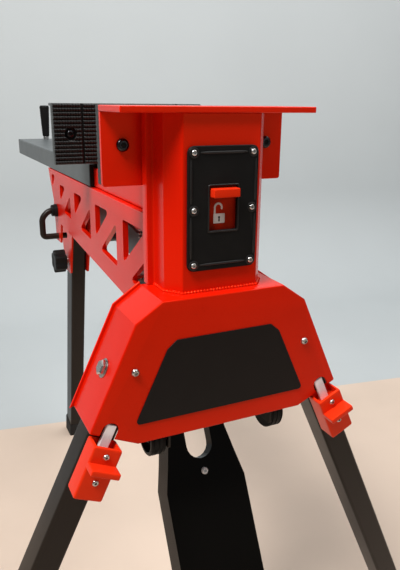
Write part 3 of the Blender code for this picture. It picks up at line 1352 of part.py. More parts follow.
def level(forward, up):
    """A point in the pedal's own (y, z), given by how far it lies forward of and above its front edge."""
    away = -PEDAL_FACE - forward * math.cos(PEDAL_LEAN) - up * math.sin(PEDAL_LEAN)
    return (away, STEP_LOW - PEDAL_L - forward * math.sin(PEDAL_LEAN) + up * math.cos(PEDAL_LEAN))


def build_pedal():
    """Slotted pedal channel with tread, crank and pivot, the drive rod and the return spring."""
    axis = empty("pedal_axis", (0.0, PEDAL_Y, PEDAL_Z), ROOT)
    lean = empty("pedal_lean", (0.0, 0.0, 0.0), axis, (-PEDAL_LEAN, 0.0, 0.0))
    front = -PEDAL_FACE
    pedal = slab("pedal", pedal_outline(0.0, -PEDAL_HEAD, PEDAL_L), front, front + PEDAL_D, "XZ")
    inside = pedal_outline(PEDAL_T, -2 * PEDAL_HEAD, PEDAL_L - PEDAL_T)
    half = PEDAL_SLOT_W / 2
    slot_top = -PEDAL_SLOT_HIGH - half
    slot_low = -PEDAL_SLOT_LOW + half
    wide = half + PEDAL_T
    rim = arc((0.0, slot_top), wide, 0, 180, 10) + arc((0.0, slot_low), wide, 180, 360, 10)
    cut(pedal, slab("pedal_inside", inside, front + PEDAL_T, front + PEDAL_D + CUT_PAST, "XZ"))
    weld(pedal, slab("pedal_rim", rim, front + PEDAL_T / 2, front + PEDAL_D * 0.5, "XZ"))
    slot = arc((0.0, slot_top), half, 0, 180, 10) + arc((0.0, slot_low), half, 180, 360, 10)
    cut(pedal, slab("pedal_slot", slot, front - CUT_PAST, front + PEDAL_D + CUT_PAST, "XZ"))
    neck = PEDAL_NECK_W / 2
    cut(pedal, block("neck_notch", (-neck + PEDAL_T, front - CUT_PAST, -NECK_NOTCH),
                     (neck - PEDAL_T, PEDAL_T, 2 * PEDAL_HEAD)))
    step = [level(-STEP_T, 0.0), level(TREAD_L, 0.0), level(TREAD_L, STEP_T), level(-STEP_T / 2, STEP_T)]
    weld(pedal, slab("pedal_step", step, -PEDAL_W / 2, PEDAL_W / 2, "YZ"))
    cut(pedal, bar("pedal_hole", (-PEDAL_W, 0, 0), (PEDAL_W, 0, 0), PEDAL_PIVOT_R + HOLE_GAP))
    screw_z = -PEDAL_SLOT_LOW - PEDAL_SCREW_BELOW
    cut(pedal, bar("screw_bore", (0, front - CUT_PAST, screw_z), (0, front + PEDAL_T + CUT_PAST, screw_z),
                   PEDAL_SHANK_R + HOLE_GAP, 12))
    place(pedal, BLACK, lean)
    screw = screw_head("pedal_screw", (0.0, screw_z), PEDAL_SCREW_R, PEDAL_SCREW_T, front - GAP,
                       PEDAL_SHANK_R, PEDAL_SHANK_L)
    place(screw, STEEL, lean)
    back = TREAD_T
    pitch = (TREAD_L - back - TREAD_EDGE) / TREAD_RIBS
    ribs = [level(back, STEP_T + GAP)]
    valley = STEP_T + TREAD_T * 0.6
    crest = STEP_T + TREAD_T
    for rib in range(TREAD_RIBS):
        edge = back + rib * pitch
        ribs += [level(edge, valley), level(edge + pitch * 0.2, crest)]
        ribs += [level(edge + pitch * 0.6, crest), level(edge + pitch * 0.8, valley)]
    ribs += [level(TREAD_L - TREAD_EDGE, valley), level(TREAD_L - TREAD_EDGE, STEP_T + GAP)]
    tread = slab("pedal_tread", ribs, -PEDAL_W / 2 + TREAD_EDGE, PEDAL_W / 2 - TREAD_EDGE, "YZ")
    place(tread, RUBBER, lean)

    end = CHASSIS_IN + CHASSIS_T / 2 - GAP
    shaft = bar("pedal_pivot", (-end, PEDAL_Y, PEDAL_Z), (end, PEDAL_Y, PEDAL_Z), PEDAL_PIVOT_R, 20)
    for side in (-1, 1):
        weld(shaft, bar("pivot_collar", (side * (neck + SLIDE_GAP), PEDAL_Y, PEDAL_Z),
                        (side * (CHASSIS_IN - GAP), PEDAL_Y, PEDAL_Z), PEDAL_PIVOT_R * 1.5, 20))
    place(shaft, STEEL)

    reach = neck - PEDAL_T - GAP
    arm_h = DRIVE_Z - PEDAL_Z
    crank = bar("pedal_crank", (-reach, 0, 0), (reach, 0, 0), PEDAL_PIVOT_R + CRANK_HUB, 20)
    arm_x = DRIVE_X + CRANK_IN
    root = CRANK_TIP_R - WELD_IN
    arm = arc((0.0, arm_h), CRANK_TIP_R, 0, 180, 8) + [(-root, -CRANK_HUB / 2), (root, -CRANK_HUB / 2)]
    weld(crank, slab("crank_arm", arm, arm_x, arm_x + CRANK_T, "YZ"))
    weld(crank, bar("crank_pin", (DRIVE_X - EYE_T, 0, arm_h), (arm_x + CRANK_T / 2, 0, arm_h),
                    CRANK_PIN_R, 16))
    seat_r = SPRING_R + SEAT_LAP
    seat = arc((SPRING_X, SPRING_ARM), seat_r, 0, 180, 10)
    seat += [(SPRING_X - seat_r, 0.0), (SPRING_X + seat_r, 0.0)]
    weld(crank, slab("spring_seat", seat, 0.0, SEAT_T, "XY"))
    cut(crank, bar("crank_bore", (-PEDAL_W, 0, 0), (PEDAL_W, 0, 0), PEDAL_PIVOT_R + HOLE_GAP))
    place(crank, BLACK, axis)

    build_drive()


def grip_plate(name, y, tail):
    """A plate round the draw bar with a tail through the rail's slot."""
    high = RAIL_TOP - SHEET_T - LOCK_PIN_R
    low = RAIL_LOW + SHEET_T + 2 * HOLE_GAP
    half = GRIP_PLATE_W / 2
    reach = DRAW_BAR_T / 2 + GRIP_ROOM
    window = rectangle((-DRAW_BAR_W / 2 - SWING_GAP, DRAW_BAR_Z - reach),
                       (DRAW_BAR_W / 2 + SWING_GAP, DRAW_BAR_Z + reach))
    plate = slab(name, rectangle((-half, low), (half, high)), y, y + GRIP_PLATE_T, "XZ", [window])
    return weld(plate, block(name + "_tail", (tail[0], y, DRIVE_Z - TAIL_DOWN),
                             (tail[1], y + GRIP_PLATE_T, low + WELD_IN)))


def build_drive():
    """Drive rod with its gripping plate, release rod, locking plate and return spring."""
    slide = empty("drive_axis", (DRIVE_X, DRIVE_PLATE_Y, DRIVE_Z), ROOT)
    drive = bar("drive_rod", (DRIVE_X, PEDAL_Y + EYE_BACK - ROD_R, DRIVE_Z),
                (DRIVE_X, DRIVE_PLATE_Y + WELD_IN, DRIVE_Z), ROD_R, 16)
    eye_low = DRIVE_Z - EYE_DOWN
    eye = rectangle((PEDAL_Y - EYE_FRONT, eye_low), (PEDAL_Y + EYE_BACK, DRIVE_Z + EYE_UP))
    play = CRANK_PIN_R + EYE_PLAY
    slot = rounded(rectangle((PEDAL_Y - play, eye_low + EYE_T / 2),
                             (PEDAL_Y + play, DRIVE_Z + CRANK_PIN_R + EYE_PLAY / 2)), EYE_T / 3, 2)
    weld(drive, slab("drive_eye", rounded(eye, EYE_T / 2, 2), DRIVE_X - EYE_T / 2, DRIVE_X + EYE_T / 2, "YZ"))
    cut(drive, slab("eye_slot", slot, DRIVE_X - EYE_T, DRIVE_X + EYE_T, "YZ"))
    weld(drive, grip_plate("drive_plate", DRIVE_PLATE_Y, (DRIVE_X - TAIL_W / 2, FORK_IN - SWING_GAP)))
    carried(drive, STEEL, slide)

    push = empty("release_axis", (RELEASE_X, LOCK_PLATE_Y, DRIVE_Z), ROOT)
    start = WEDGE_D + GAP
    length = LOCK_PLATE_Y - GAP - AXLE_GAP - start
    profile = [(0.0, length), (ROD_R, length - ROD_POINT), (ROD_R, ROD_POINT), (0.0, 0.0)]
    rod = turned("release_rod", profile, 16)
    rod.rotation_euler = (-math.pi / 2, 0.0, 0.0)
    rod.location = (RELEASE_X, start, DRIVE_Z)
    carried(rod, STEEL, push)

    tilt = empty("lock_plate_axis", (0.0, LOCK_PLATE_Y, LOCK_PIN_Z), ROOT)
    lock = grip_plate("lock_plate", LOCK_PLATE_Y, (RELEASE_X - TAIL_W / 2, RELEASE_X + TAIL_W / 2))
    weld(lock, bar("lock_pin_bar", (-RAIL_W / 2, LOCK_PLATE_Y, LOCK_PIN_Z),
                   (RAIL_W / 2, LOCK_PLATE_Y, LOCK_PIN_Z), LOCK_PIN_R, 12))
    carried(lock, STEEL, tilt)

    build_spring()


def build_spring():
    """Compression spring between the crank's seat and the rail above it."""
    low = PEDAL_Z + SEAT_T + GAP + SPRING_WIRE
    high = RAIL_LOW - GAP - SPRING_WIRE
    y = PEDAL_Y + SPRING_ARM
    path = []
    points = SPRING_TURNS * 8
    for index in range(points + 1):
        share = index / points
        angle = 2 * math.pi * SPRING_TURNS * share
        path.append((SPRING_X + SPRING_R * math.cos(angle), y + SPRING_R * math.sin(angle),
                     low + (high - low) * share))
    gap = (high - low) / SPRING_TURNS - 2 * SPRING_WIRE
    print(f"pedal_spring: least gap between turns {gap * 1000:.2f} mm")
    place(wire("pedal_spring", path, SPRING_WIRE, 1), STEEL)


def centre_model():
    """Move the root so that the footprint's middle and the floor are at the origin."""
    bpy.context.view_layer.update()
    graph = bpy.context.evaluated_depsgraph_get()
    low = Vector((10.0, 10.0, 10.0))
    high = -low
    for obj in PARTS.objects:
        if obj.type != "MESH":
            continue
        solid = obj.evaluated_get(graph)
        for corner in solid.data.vertices:
            spot = solid.matrix_world @ corner.co
            low = Vector(map(min, low, spot))
            high = Vector(map(max, high, spot))
    ROOT.location = (-(low.x + high.x) / 2, -(low.y + high.y) / 2, -low.z)
    bpy.context.view_layer.update()


def main():
    """Build every piece and centre the model."""
    seats = []
    for side in (-1, 1):
        word = "left" if side < 0 else "right"
        seats.append(empty(f"{word}_leg_seat", (side * LEG_PIVOT.x, LEG_PIVOT_Y, LEG_PIVOT.y), ROOT,
                           (0.0, -side * LEG_SPLAY, 0.0)))
    build_column()
    build_fixed_jaw()
    build_switch()
    build_housing(seats)
    for side in (-1, 1):
        build_front_leg(side)
    build_rollers()
    build_chassis()
    build_rail()
    build_beam()
    build_rear_leg()
    build_knob()
    build_lock_pull()
    build_pedal()
    centre_model()


main()
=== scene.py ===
"""Looks of a folding clamping workbench: paint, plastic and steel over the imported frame, on a plain stage.

Lengths are in metres, in the frame's own axes: X to the right, Y along the beam, Z up from the floor.
"""
import json
import math

import bmesh
import bpy
import numpy as np
from mathutils import Matrix, Vector

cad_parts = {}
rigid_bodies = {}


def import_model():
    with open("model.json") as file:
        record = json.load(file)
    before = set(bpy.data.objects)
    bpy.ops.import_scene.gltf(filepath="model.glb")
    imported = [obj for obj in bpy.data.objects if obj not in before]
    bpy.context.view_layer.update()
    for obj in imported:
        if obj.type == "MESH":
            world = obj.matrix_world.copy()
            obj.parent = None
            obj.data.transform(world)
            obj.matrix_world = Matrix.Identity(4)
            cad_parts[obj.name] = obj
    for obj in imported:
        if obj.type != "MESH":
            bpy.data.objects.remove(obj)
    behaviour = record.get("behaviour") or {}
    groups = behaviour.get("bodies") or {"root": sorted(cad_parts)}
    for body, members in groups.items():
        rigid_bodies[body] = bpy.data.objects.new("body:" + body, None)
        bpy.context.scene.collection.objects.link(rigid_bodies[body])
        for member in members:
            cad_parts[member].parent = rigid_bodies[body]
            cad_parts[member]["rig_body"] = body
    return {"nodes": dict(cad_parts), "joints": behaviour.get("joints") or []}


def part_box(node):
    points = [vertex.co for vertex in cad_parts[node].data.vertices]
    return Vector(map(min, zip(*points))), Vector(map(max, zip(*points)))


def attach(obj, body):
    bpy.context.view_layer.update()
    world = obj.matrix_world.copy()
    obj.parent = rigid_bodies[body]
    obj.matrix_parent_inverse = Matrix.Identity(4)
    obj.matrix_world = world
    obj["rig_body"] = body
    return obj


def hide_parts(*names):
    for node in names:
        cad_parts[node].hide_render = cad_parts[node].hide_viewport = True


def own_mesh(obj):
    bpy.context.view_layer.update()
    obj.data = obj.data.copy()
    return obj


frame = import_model()

bl_info = {
    "name": "Folding Clamping Workbench",
    "version": (1, 0, 0),
    "blender": (4, 5, 0),
    "location": "3D View > Sidebar > Workbench",
    "description": "Dresses the packed workbench with its finishes and small details",
    "category": "Object",
}

# Places that the details share
FRONT_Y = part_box("column")[0][1]
JOINTS = {joint["name"]: joint for joint in frame["joints"]}
FORWARD = Matrix.Rotation(math.pi / 2, 4, "X")
SIDES = ((-1, "left"), (1, "right"))

# Rounded edges: mouldings, thin steel, plain parts, bolts and rubber; how meshes are cleaned and shaded
FINE_EDGE = 0.0003
THIN_EDGE = 0.0004
PLAIN_EDGE = 0.0005
BOLT_EDGE = 0.0006
SOFT_EDGE = 0.0008
BEVEL_FROM = math.radians(28.0)
FLAT_WITHIN = 0.01
MERGE_WITHIN = 1e-6
SHARP_FROM = 32.0

# Thin tubes: corners round them, and the angle in degrees from which their edges stay sharp
TUBE_AROUND = 10
TUBE_SHARP = 80.0

# Socket screws: crown as shares of radius and height, hex socket as a share of the radius
SCREW_STEPS = 24
SCREW_CROWN = ((1.0, 0.0), (1.0, 0.25), (0.93, 0.6), (0.78, 0.86), (0.6, 1.0))
SOCKET_SHARE = 0.46
SOCKET_TOP = 0.96
SOCKET_FLOOR = 0.12

# Jaw pads and bolts
PAD_ROWS = 15
ROW_STEPS = 8
ROW_FLANK = 0.3
ROW_BASE = 0.45
TOOTH_PITCH = 0.0042
TOOTH_STEPS = 6
TOOTH_FLANK = 0.18
TOOTH_DEPTH = 0.0022
PAD_GROOVE_IN = 0.0185
PAD_GROOVE_HALF = 0.002
PAD_GROOVE_DEPTH = 0.0037
BOLT_WELL_R = 0.0092
BOLT_WELL_DEPTH = 0.0070
PAD_SHARP = 25.0
FIXED_HEAD_R = 0.0078
FIXED_HEAD_H = 0.0042
FIXED_HEAD_SUNK = 0.0034
MOVING_HEAD_R = 0.0054
MOVING_HEAD_H = 0.0022
MOVING_HEAD_SUNK = 0.0009

# Weld at the column's foot, y measured back from the column's face
WELD_SIDE_X = 0.0660
WELD_FACE_X = 0.0503
WELD_END_Y = 0.050
WELD_CORNER_Y = 0.0195
WELD_FACE_Y = -0.0008
WELD_RISE = 0.35
WELD_WAVE = 0.30
WELD_PITCH = 0.0042
WELD_STEPS = 240

# Switch panel
PANEL_LOW, PANEL_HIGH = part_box("switch_panel")
PANEL_T = 0.0045
PANEL_SCREW_IN = 0.0075
PANEL_SCREW_X = PANEL_HIGH[0] - PANEL_SCREW_IN
PANEL_SCREW_R = 0.00365
PANEL_SCREW_H = 0.0024
PANEL_SCREW_FLOOR = 0.62
BOSS_SECTION = ((0.0041, 0.0), (0.0061, 0.0), (0.0058, 0.0010), (0.0050, 0.0013), (0.0041, 0.0010))
BOSS_STEPS = 28
BEAD_IN = 0.0037
BEAD_X = PANEL_HIGH[0] - BEAD_IN
BEAD_CLEAR = 0.008
BEAD_HALF = PANEL_SCREW_X - BEAD_CLEAR
BEAD_R = 0.0016
BEAD_THIN = 0.35
BEAD_FULL = 0.75
BEAD_END = 0.03
BEAD_STEPS = 14
BEAD_SHARP = 60.0
WINDOW_W = 0.0385
WINDOW_H = 0.0542
WINDOW_R = 0.0016
WINDOW_UP = 0.0010
WINDOW_RIM_R = 0.0012
# Depths behind the panel's face where the switch's painted shade begins and where it is full
TAB_BACK = 0.004
BACKING_FRONT = 0.001

# Padlock sign on the switch's backing
SIGN_X = -0.0030
SIGN_Z = PANEL_LOW[2] + 0.0543
SIGN_BACK = 0.0006
SIGN_UNDER = -0.0003
SIGN_OVER = 0.00025
SIGN_ROUND = 0.00012
LOCK_W = 0.0150
LOCK_H = 0.0115
LOCK_R = 0.0010
LOCK_UP = 0.0064
BOW_OUT = 0.0058
BOW_IN = 0.0034
BOW_LEG = 0.0076
BOW_LEFT = 0.0012
BOW_UP = 0.0195
BOW_OPEN = -28.0
BOW_STEPS = 22
BOW_ROUND = 0.0001
KEYHOLE_R = 0.0013
KEYHOLE_UP = 0.0067
KEYHOLE_EYE_UP = 0.0011
KEYHOLE_OPEN = 60.0
KEYHOLE_HALF = 0.0011
KEYHOLE_FOOT = 0.0038
KEYHOLE_FRONT = 0.0002
KEYHOLE_OVER = 0.00015
KEYHOLE_ROUND = 0.00005
KEYHOLE_STEPS = 18

# Leg housing, its lip's corners measured from its top
HOUSING_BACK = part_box("housing")[1][1]
HOUSING_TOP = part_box("housing")[1][2]
LABEL_GAP = 0.0003
HOUSING_SCREW_X = 0.1176
HOUSING_SCREW_Z = HOUSING_TOP - 0.0811
HOUSING_SCREW_R = 0.0049
HOUSING_SCREW_H = 0.0040
HOUSING_SCREW_FLOOR = 0.70
WASHER_OUT = 0.023
WASHER_BORE = 0.0060
WASHER_R = 0.0118
WASHER_LOW = 0.0002
WASHER_HIGH = 0.0014
WASHER_EASE_R = 0.0004
WASHER_EASE_H = 0.0003
WASHER_STEPS = 40
LIP_CORNERS = ((0.1157, -0.1770), (0.1745, -0.1496), (0.1157, -0.0234), (0.0820, 0.0))
LIP_OUT = 0.0035
LIP_IN = 0.0012
LIP_T = 0.0026
LIP_ROUND = 0.0007

# Rollers
ROLLER_STEPS = 56
ROLLER_EDGE = 0.0016
ROLLER_WALL = 0.005
ROLLER_BORE = 0.00525
TREAD_STEPS = 49
GROOVES = 3
GROOVE_DEPTH = 0.0011
CUP_EASE = 0.0006
WEB_H = 0.003
WEB_EASE = 0.0008
WEB_RISE = 0.0005
HUB_R = 0.0092
HUB_FOOT = 0.0018
HUB_TAPER = 0.0003
HUB_EASE = 0.0006
HUB_BELOW = 0.0024

# Leg latches, in the leg's own frame
LATCH_SCREW_Y = -0.0497
LATCH_SCREW_Z = (-0.0868, -0.1200)
LATCH_SCREW_R = 0.0040
LATCH_SCREW_H = 0.0022

# Pull handle
GRIP_AROUND = 48
GRIP_STEPS = 60
GRIP_START = 0.003
GRIP_END = 0.006
GRIP_NARROW = 0.71
GRIP_CURVE = 0.9
RING_DEPTH = 0.00035
RING_PITCH = 0.006
DOME_IN = 0.0045
DOME_H = 0.0055
DOME_TURN = 82.0
DOME_STEPS = 7
STUD_BORE_R = 0.0051
STUD_BORE_SHARE = 0.7
STUD_BORE_PAST = 0.001
GRIP_FOOT = 0.62
GRIP_NECK = 0.70
GRIP_NECK_H = 0.0012

# Star knob: stations as shares of radius and length
KNOB_STEPS = 144
KNOB_LOBES = 6
KNOB_WAVE = 0.1
KNOB_PLAIN = 0.5
KNOB_BLEND = 0.4
KNOB_STATIONS = ((0.36, 0.0), (0.46, 0.0), (0.50, 0.02), (0.54, 0.08), (0.94, 0.10), (0.985, 0.13),
                 (1.0, 0.18), (1.0, 0.90), (0.985, 0.95), (0.94, 0.985), (0.86, 1.0), (0.45, 1.0),
                 (0.42, 0.985))

# Lock pull, its stations measured from the two ends of its barrel
BARREL_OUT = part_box("lock_barrel")[0][0]
BARREL_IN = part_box("lock_barrel")[1][0]
PULL_R = 0.006
PULL_AROUND = 24
PULL_BEND_R = 0.008
PULL_SLANT = 0.014
PULL_LOW_X = BARREL_IN + 0.0171
PULL_SHOULDER_X = BARREL_OUT - 0.0057
PULL_TOP_X = BARREL_IN - 0.0002
PIN_START_X = BARREL_IN - 0.0012
PIN_R = 0.004
PIN_TIP_R = 0.0034
PIN_TIP = 0.001
PIN_AROUND = 20

# Pedal, in the frame of its pivot
PEDAL_LEAN = math.radians(28.4)
PEDAL_SCREW_Y = -0.0127
PEDAL_SCREW_Z = -0.292
PEDAL_SCREW_R = 0.0049
PEDAL_SCREW_H = 0.0033
PEDAL_SCREW_FLOOR = 0.75
SPRING_WIRE = 0.0009
SPRING_TURNS = 18
SPRING_STEPS = 22

# Stage
FLOOR_HALF = 6.0
FLOOR_COLOUR = (0.61, 0.49, 0.40)
SHEET_COLOUR = (0.465, 0.50, 0.512)
SHEET_START = (0.0, 0.480)
SHEET_AWAY = (0.162, 0.986)
SHEET_REACH = 6.0
SHEET_FLAT = 0.75
SHEET_BEND = 0.45
SHEET_STEPS = 16
SHEET_LIFT = 0.0008
SHEET_TOP = 4.0
KEY_PLACE = (-1.3, -0.88, 2.9)
KEY_AIM = (0.0, -0.2, 0.6)
KEY_SIZE = 0.9
KEY_COLOUR = (1.0, 0.97, 0.94)
FILL_PLACE = (0.9, -2.6, 1.3)
FILL_AIM = (0.0, -0.3, 0.6)
FILL_SIZE = 1.6
FILL_COLOUR = (1.0, 0.98, 0.96)
OVERHEAD_PLACE = (1.3, -0.1, 3.0)
OVERHEAD_AIM = (1.3, 1.6, 0.8)
OVERHEAD_SIZE = 2.4
OVERHEAD_COLOUR = (1.0, 1.0, 1.0)
SKY_COLOUR = (0.88, 0.90, 0.90, 1.0)
SKY_STRENGTH = 0.16

# Camera, its y measured from the column's face
CAMERA_X = -0.3228
CAMERA_Y = -0.6156
CAMERA_Z = 0.8756
CAMERA_FORWARD = (0.4137, 0.8611, -0.2956)
CAMERA_RIGHT = (0.9014, -0.4330, 0.0)
CAMERA_ROLL = 0.0108
CAMERA_SENSOR_MM = 36.0
CAMERA_LENS_MM = 37.62

# Finishes, and the tints of their shine
PLAIN_TINT = (1.0, 1.0, 1.0, 1.0)
WARM_TINT = (1.0, 0.30, 0.08, 1.0)
FINISHES = {}


# Places

def leg_frame(side, word):
    """Frame of a front leg: origin on its fold axis, X to the right along that axis, Z up the leg."""
    fold = JOINTS[f"{word}_leg_fold"]
    splay = math.asin(abs(fold["axis"][2]))
    return Matrix.Translation(fold["pos_m"]) @ Matrix.Rotation(-side * splay, 4, "Y")


def facing(x, y, z):
    """A frame at a place whose Z points forward."""
    return Matrix.Translation((x, y, z)) @ FORWARD


def middle_of(low, high):
    """The middle of a box."""
    return (np.array(low) + np.array(high)) / 2


# Surfaces

def full_turn(count):
    """Angles of a full turn in equal steps."""
    return np.linspace(0.0, 2.0 * np.pi, count, endpoint=False)


def polar(radius, turn, height):
    """P = (r cos t, r sin t, h) for whole arrays of radius, angle and height."""
    return np.stack(np.broadcast_arrays(radius * np.cos(turn), radius * np.sin(turn), height), -1)


def upright(flat, y):
    """P = (u, y, v) for a line of points (u, v) in the plane at one y."""
    return np.column_stack((flat[:, 0], np.full(len(flat), y), flat[:, 1]))


def trapezoid(phase, flank):
    """A wave of period 1 from 0 to 1: clip((0.5 - |frac(p) - 0.5|) / f, 0, 1)."""
    return np.clip((0.5 - np.abs(np.mod(phase, 1.0) - 0.5)) / flank, 0.0, 1.0)


def loft(rings, ends=True):
    """Quads between closed rings P[i, j], with j taken round and i along; flat faces close the two ends."""
    rings = np.asarray(rings, float)
    count, around = rings.shape[:2]
    i, j = np.meshgrid(np.arange(count - 1), np.arange(around), indexing="ij")
    k = (j + 1) % around
    quads = np.stack((i * around + j, i * around + k, (i + 1) * around + k, (i + 1) * around + j), -1)
    faces = quads.reshape(-1, 4).tolist()
    if ends:
        faces.append(list(range(around))[::-1])
        faces.append(list(range((count - 1) * around, count * around)))
    return rings.reshape(-1, 3), faces


def lathe(profile, around):
    """P(i, t) = (r_i cos t, r_i sin t, h_i) for a profile of radius and height, capped flat at both ends."""
    profile = np.asarray(profile, float)
    return loft(polar(profile[:, :1], full_turn(around), profile[:, 1:]))


def revolve(section, around):
    """P(t, j) = (r_j cos t, r_j sin t, h_j) for a closed section of radius and height."""
    section = np.asarray(section, float)
    rings = polar(section[:, 0], full_turn(around)[:, None], section[:, 1])
    return loft(np.concatenate((rings, rings[:1])), ends=False)


def inset(outline, amount):
    """Each corner moves along its mitre: q = p + a (n1 + n2) / (1 + n1 . n2), n the inward normals."""
    outline = np.asarray(outline, float)
    run = np.roll(outline, -1, 0) - outline
    run /= np.linalg.norm(run, axis=1, keepdims=True)
    after = np.stack((-run[:, 1], run[:, 0]), -1)
    before = np.roll(after, 1, 0)
    share = 1.0 + np.sum(before * after, 1, keepdims=True)
    return outline + amount * (before + after) / share


def prism(outline, low, high, fillet, steps=4):
    """An outline in XY raised along Z, its far edge rounded: inset f (1 - cos a), height f (sin a - 1)."""
    outline = np.asarray(outline, float)
    rings = [np.column_stack((outline, np.full(len(outline), low)))]
    for angle in np.linspace(0.0, np.pi / 2.0, steps + 1):
        flat = inset(outline, fillet * (1.0 - math.cos(angle)))
        rise = high + fillet * (math.sin(angle) - 1.0)
        rings.append(np.column_stack((flat, np.full(len(flat), rise))))
    return loft(rings)


def ring_outline(width, height, radius, steps=6):
    """A rounded rectangle about the origin, counterclockwise: c + r (cos a, sin a) at each corner."""
    turn = np.linspace(0.0, np.pi / 2.0, steps + 1)
    corners = []
    for quarter, (sx, sy) in enumerate(((1, 1), (-1, 1), (-1, -1), (1, -1))):
        angle = turn + quarter * np.pi / 2.0
        centre = np.array((sx * (width / 2.0 - radius), sy * (height / 2.0 - radius)))
        corners.append(centre + radius * np.column_stack((np.cos(angle), np.sin(angle))))
    return np.concatenate(corners)


def sweep(path, radius, around, closed=False):
    """A tube P(i, t) = c_i + r_i (u_i cos t + v_i sin t), with u carried along the path c without twist."""
    path = np.asarray(path, float)
    radius = np.broadcast_to(radius, len(path))
    if closed:
        heading = np.roll(path, -1, 0) - np.roll(path, 1, 0)
    else:
        heading = np.gradient(path, axis=0)
    heading /= np.linalg.norm(heading, axis=1, keepdims=True)
    side = np.cross(heading[0], np.eye(3)[np.argmin(np.abs(heading[0]))])
    sides = []
    for way in heading:
        side = side - way * np.dot(side, way)
        side /= np.linalg.norm(side)
        sides.append(side)
    sides = np.array(sides)
    ups = np.cross(heading, sides)
    turn = full_turn(around)
    wave = sides[:, None] * np.cos(turn)[:, None] + ups[:, None] * np.sin(turn)[:, None]
    rings = path[:, None] + radius[:, None, None] * wave
    if closed:
        rings = np.concatenate((rings, rings[:1]))
    return loft(rings, ends=not closed)


def eased(corners, radius, steps=8):
    """A polyline with soft corners: b(t) = (1 - t)^2 a + 2 t (1 - t) c + t^2 e round each corner c."""
    corners = np.asarray(corners, float)
    share = np.linspace(0.0, 1.0, steps + 1)[:, None]
    points = [corners[:1]]
    for before, corner, after in zip(corners, corners[1:], corners[2:]):
        back = (before - corner) / np.linalg.norm(before - corner)
        ahead = (after - corner) / np.linalg.norm(after - corner)
        start = corner + radius * back
        end = corner + radius * ahead
        points.append((1 - share) ** 2 * start + 2 * share * (1 - share) * corner + share ** 2 * end)
    points.append(corners[-1:])
    return np.concatenate(points)


def relief(front, back_y):
    """A grid P[i, j] of front points closed by walls and a flat back at one y."""
    front = np.asarray(front, float)
    rows, columns = front.shape[:2]
    i, j = np.meshgrid(np.arange(rows - 1), np.arange(columns - 1), indexing="ij")
    corner = i * columns + j
    quads = np.stack((corner, corner + 1, corner + columns + 1, corner + columns), -1)
    faces = quads.reshape(-1, 4).tolist()
    top = np.arange(columns)
    right = np.arange(1, rows) * columns + columns - 1
    low = np.arange(columns - 2, -1, -1) + (rows - 1) * columns
    left = np.arange(rows - 2, 0, -1) * columns
    rim = np.concatenate((top, right, low, left))
    points = front.reshape(-1, 3)
    behind = points[rim].copy()
    behind[:, 1] = back_y
    edge = np.arange(len(rim)) + len(points)
    faces += np.stack((rim, np.roll(rim, -1), np.roll(edge, -1), edge), -1).tolist()
    faces.append(edge.tolist())
    return np.concatenate((points, behind)), faces


def together(shapes):
    """Several (points, faces) shapes as one."""
    points = []
    faces = []
    start = 0
    for shape_points, shape_faces in shapes:
        points.append(shape_points)
        faces += [[corner + start for corner in face] for face in shape_faces]
        start += len(shape_points)
    return np.concatenate(points), faces


def placed(shape, matrix):
    """A shape with all its points moved at once: p' = R p + t."""
    turn = np.array(matrix.to_3x3())
    return shape[0] @ turn.T + np.array(matrix.translation), shape[1]


def copies(shape, spots):
    """One shape put at several frames."""
    return together([placed(shape, spot) for spot in spots])


def socket_screw(radius, height, floor=SOCKET_FLOOR):
    """A button head with a hex socket: rings over the crown, then down to a share of the height."""
    turn = full_turn(SCREW_STEPS)
    rings = [polar(radius * share, turn, height * rise) for share, rise in SCREW_CROWN]
    corner = np.pi / 3.0
    hexagon = SOCKET_SHARE * radius * math.cos(corner / 2.0) / np.cos(np.mod(turn, corner) - corner / 2.0)
    rings += [polar(hexagon, turn, height * drop) for drop in (SOCKET_TOP, floor)]
    return loft(rings)


# Objects

def keep(name, shape, finish, body, nodes=(), sharp=SHARP_FROM):
    """A finished piece from points and faces, riding a body and standing for the named nodes."""
    mesh = bpy.data.meshes.new(name)
    mesh.from_pydata(shape[0].tolist(), [], shape[1])
    work = bmesh.new()
    work.from_mesh(mesh)
    bmesh.ops.remove_doubles(work, verts=work.verts, dist=MERGE_WITHIN)
    bmesh.ops.recalc_face_normals(work, faces=work.faces)
    work.to_mesh(mesh)
    work.free()
    mesh.shade_smooth()
    mesh.set_sharp_from_angle(angle=math.radians(sharp))
    return finish_piece(name, mesh, finish, body, nodes)


def finish_piece(name, mesh, finish, body, nodes):
    """Link a mesh, give it its material and tie it to the frame."""
    piece = bpy.data.objects.new(name, mesh)
    bpy.context.scene.collection.objects.link(piece)
    mesh.materials.clear()
    mesh.materials.append(FINISHES[finish])
    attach(piece, body)
    if nodes:
        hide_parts(*nodes)
    return piece


def dress(node, finish, width, segments=2):
    """A welded copy of a frame node with its edges rounded, in place of the node."""
    source = frame["nodes"][node]
    mesh = source.data.copy()
    work = bmesh.new()
    work.from_mesh(mesh)
    bmesh.ops.remove_doubles(work, verts=work.verts, dist=MERGE_WITHIN)
    bmesh.ops.dissolve_limit(work, angle_limit=FLAT_WITHIN, verts=work.verts, edges=work.edges)
    work.to_mesh(mesh)
    work.free()
    mesh.shade_smooth()
    piece = finish_piece(node + "_finish", mesh, finish, source["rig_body"], (node,))
    edge = piece.modifiers.new("rounded edges", "BEVEL")
    edge.width = width
    edge.segments = segments
    edge.limit_method = "ANGLE"
    edge.angle_limit = BEVEL_FROM
    edge.use_clamp_overlap = True
    flat = piece.modifiers.new("flat faces", "WEIGHTED_NORMAL")
    flat.keep_sharp = True


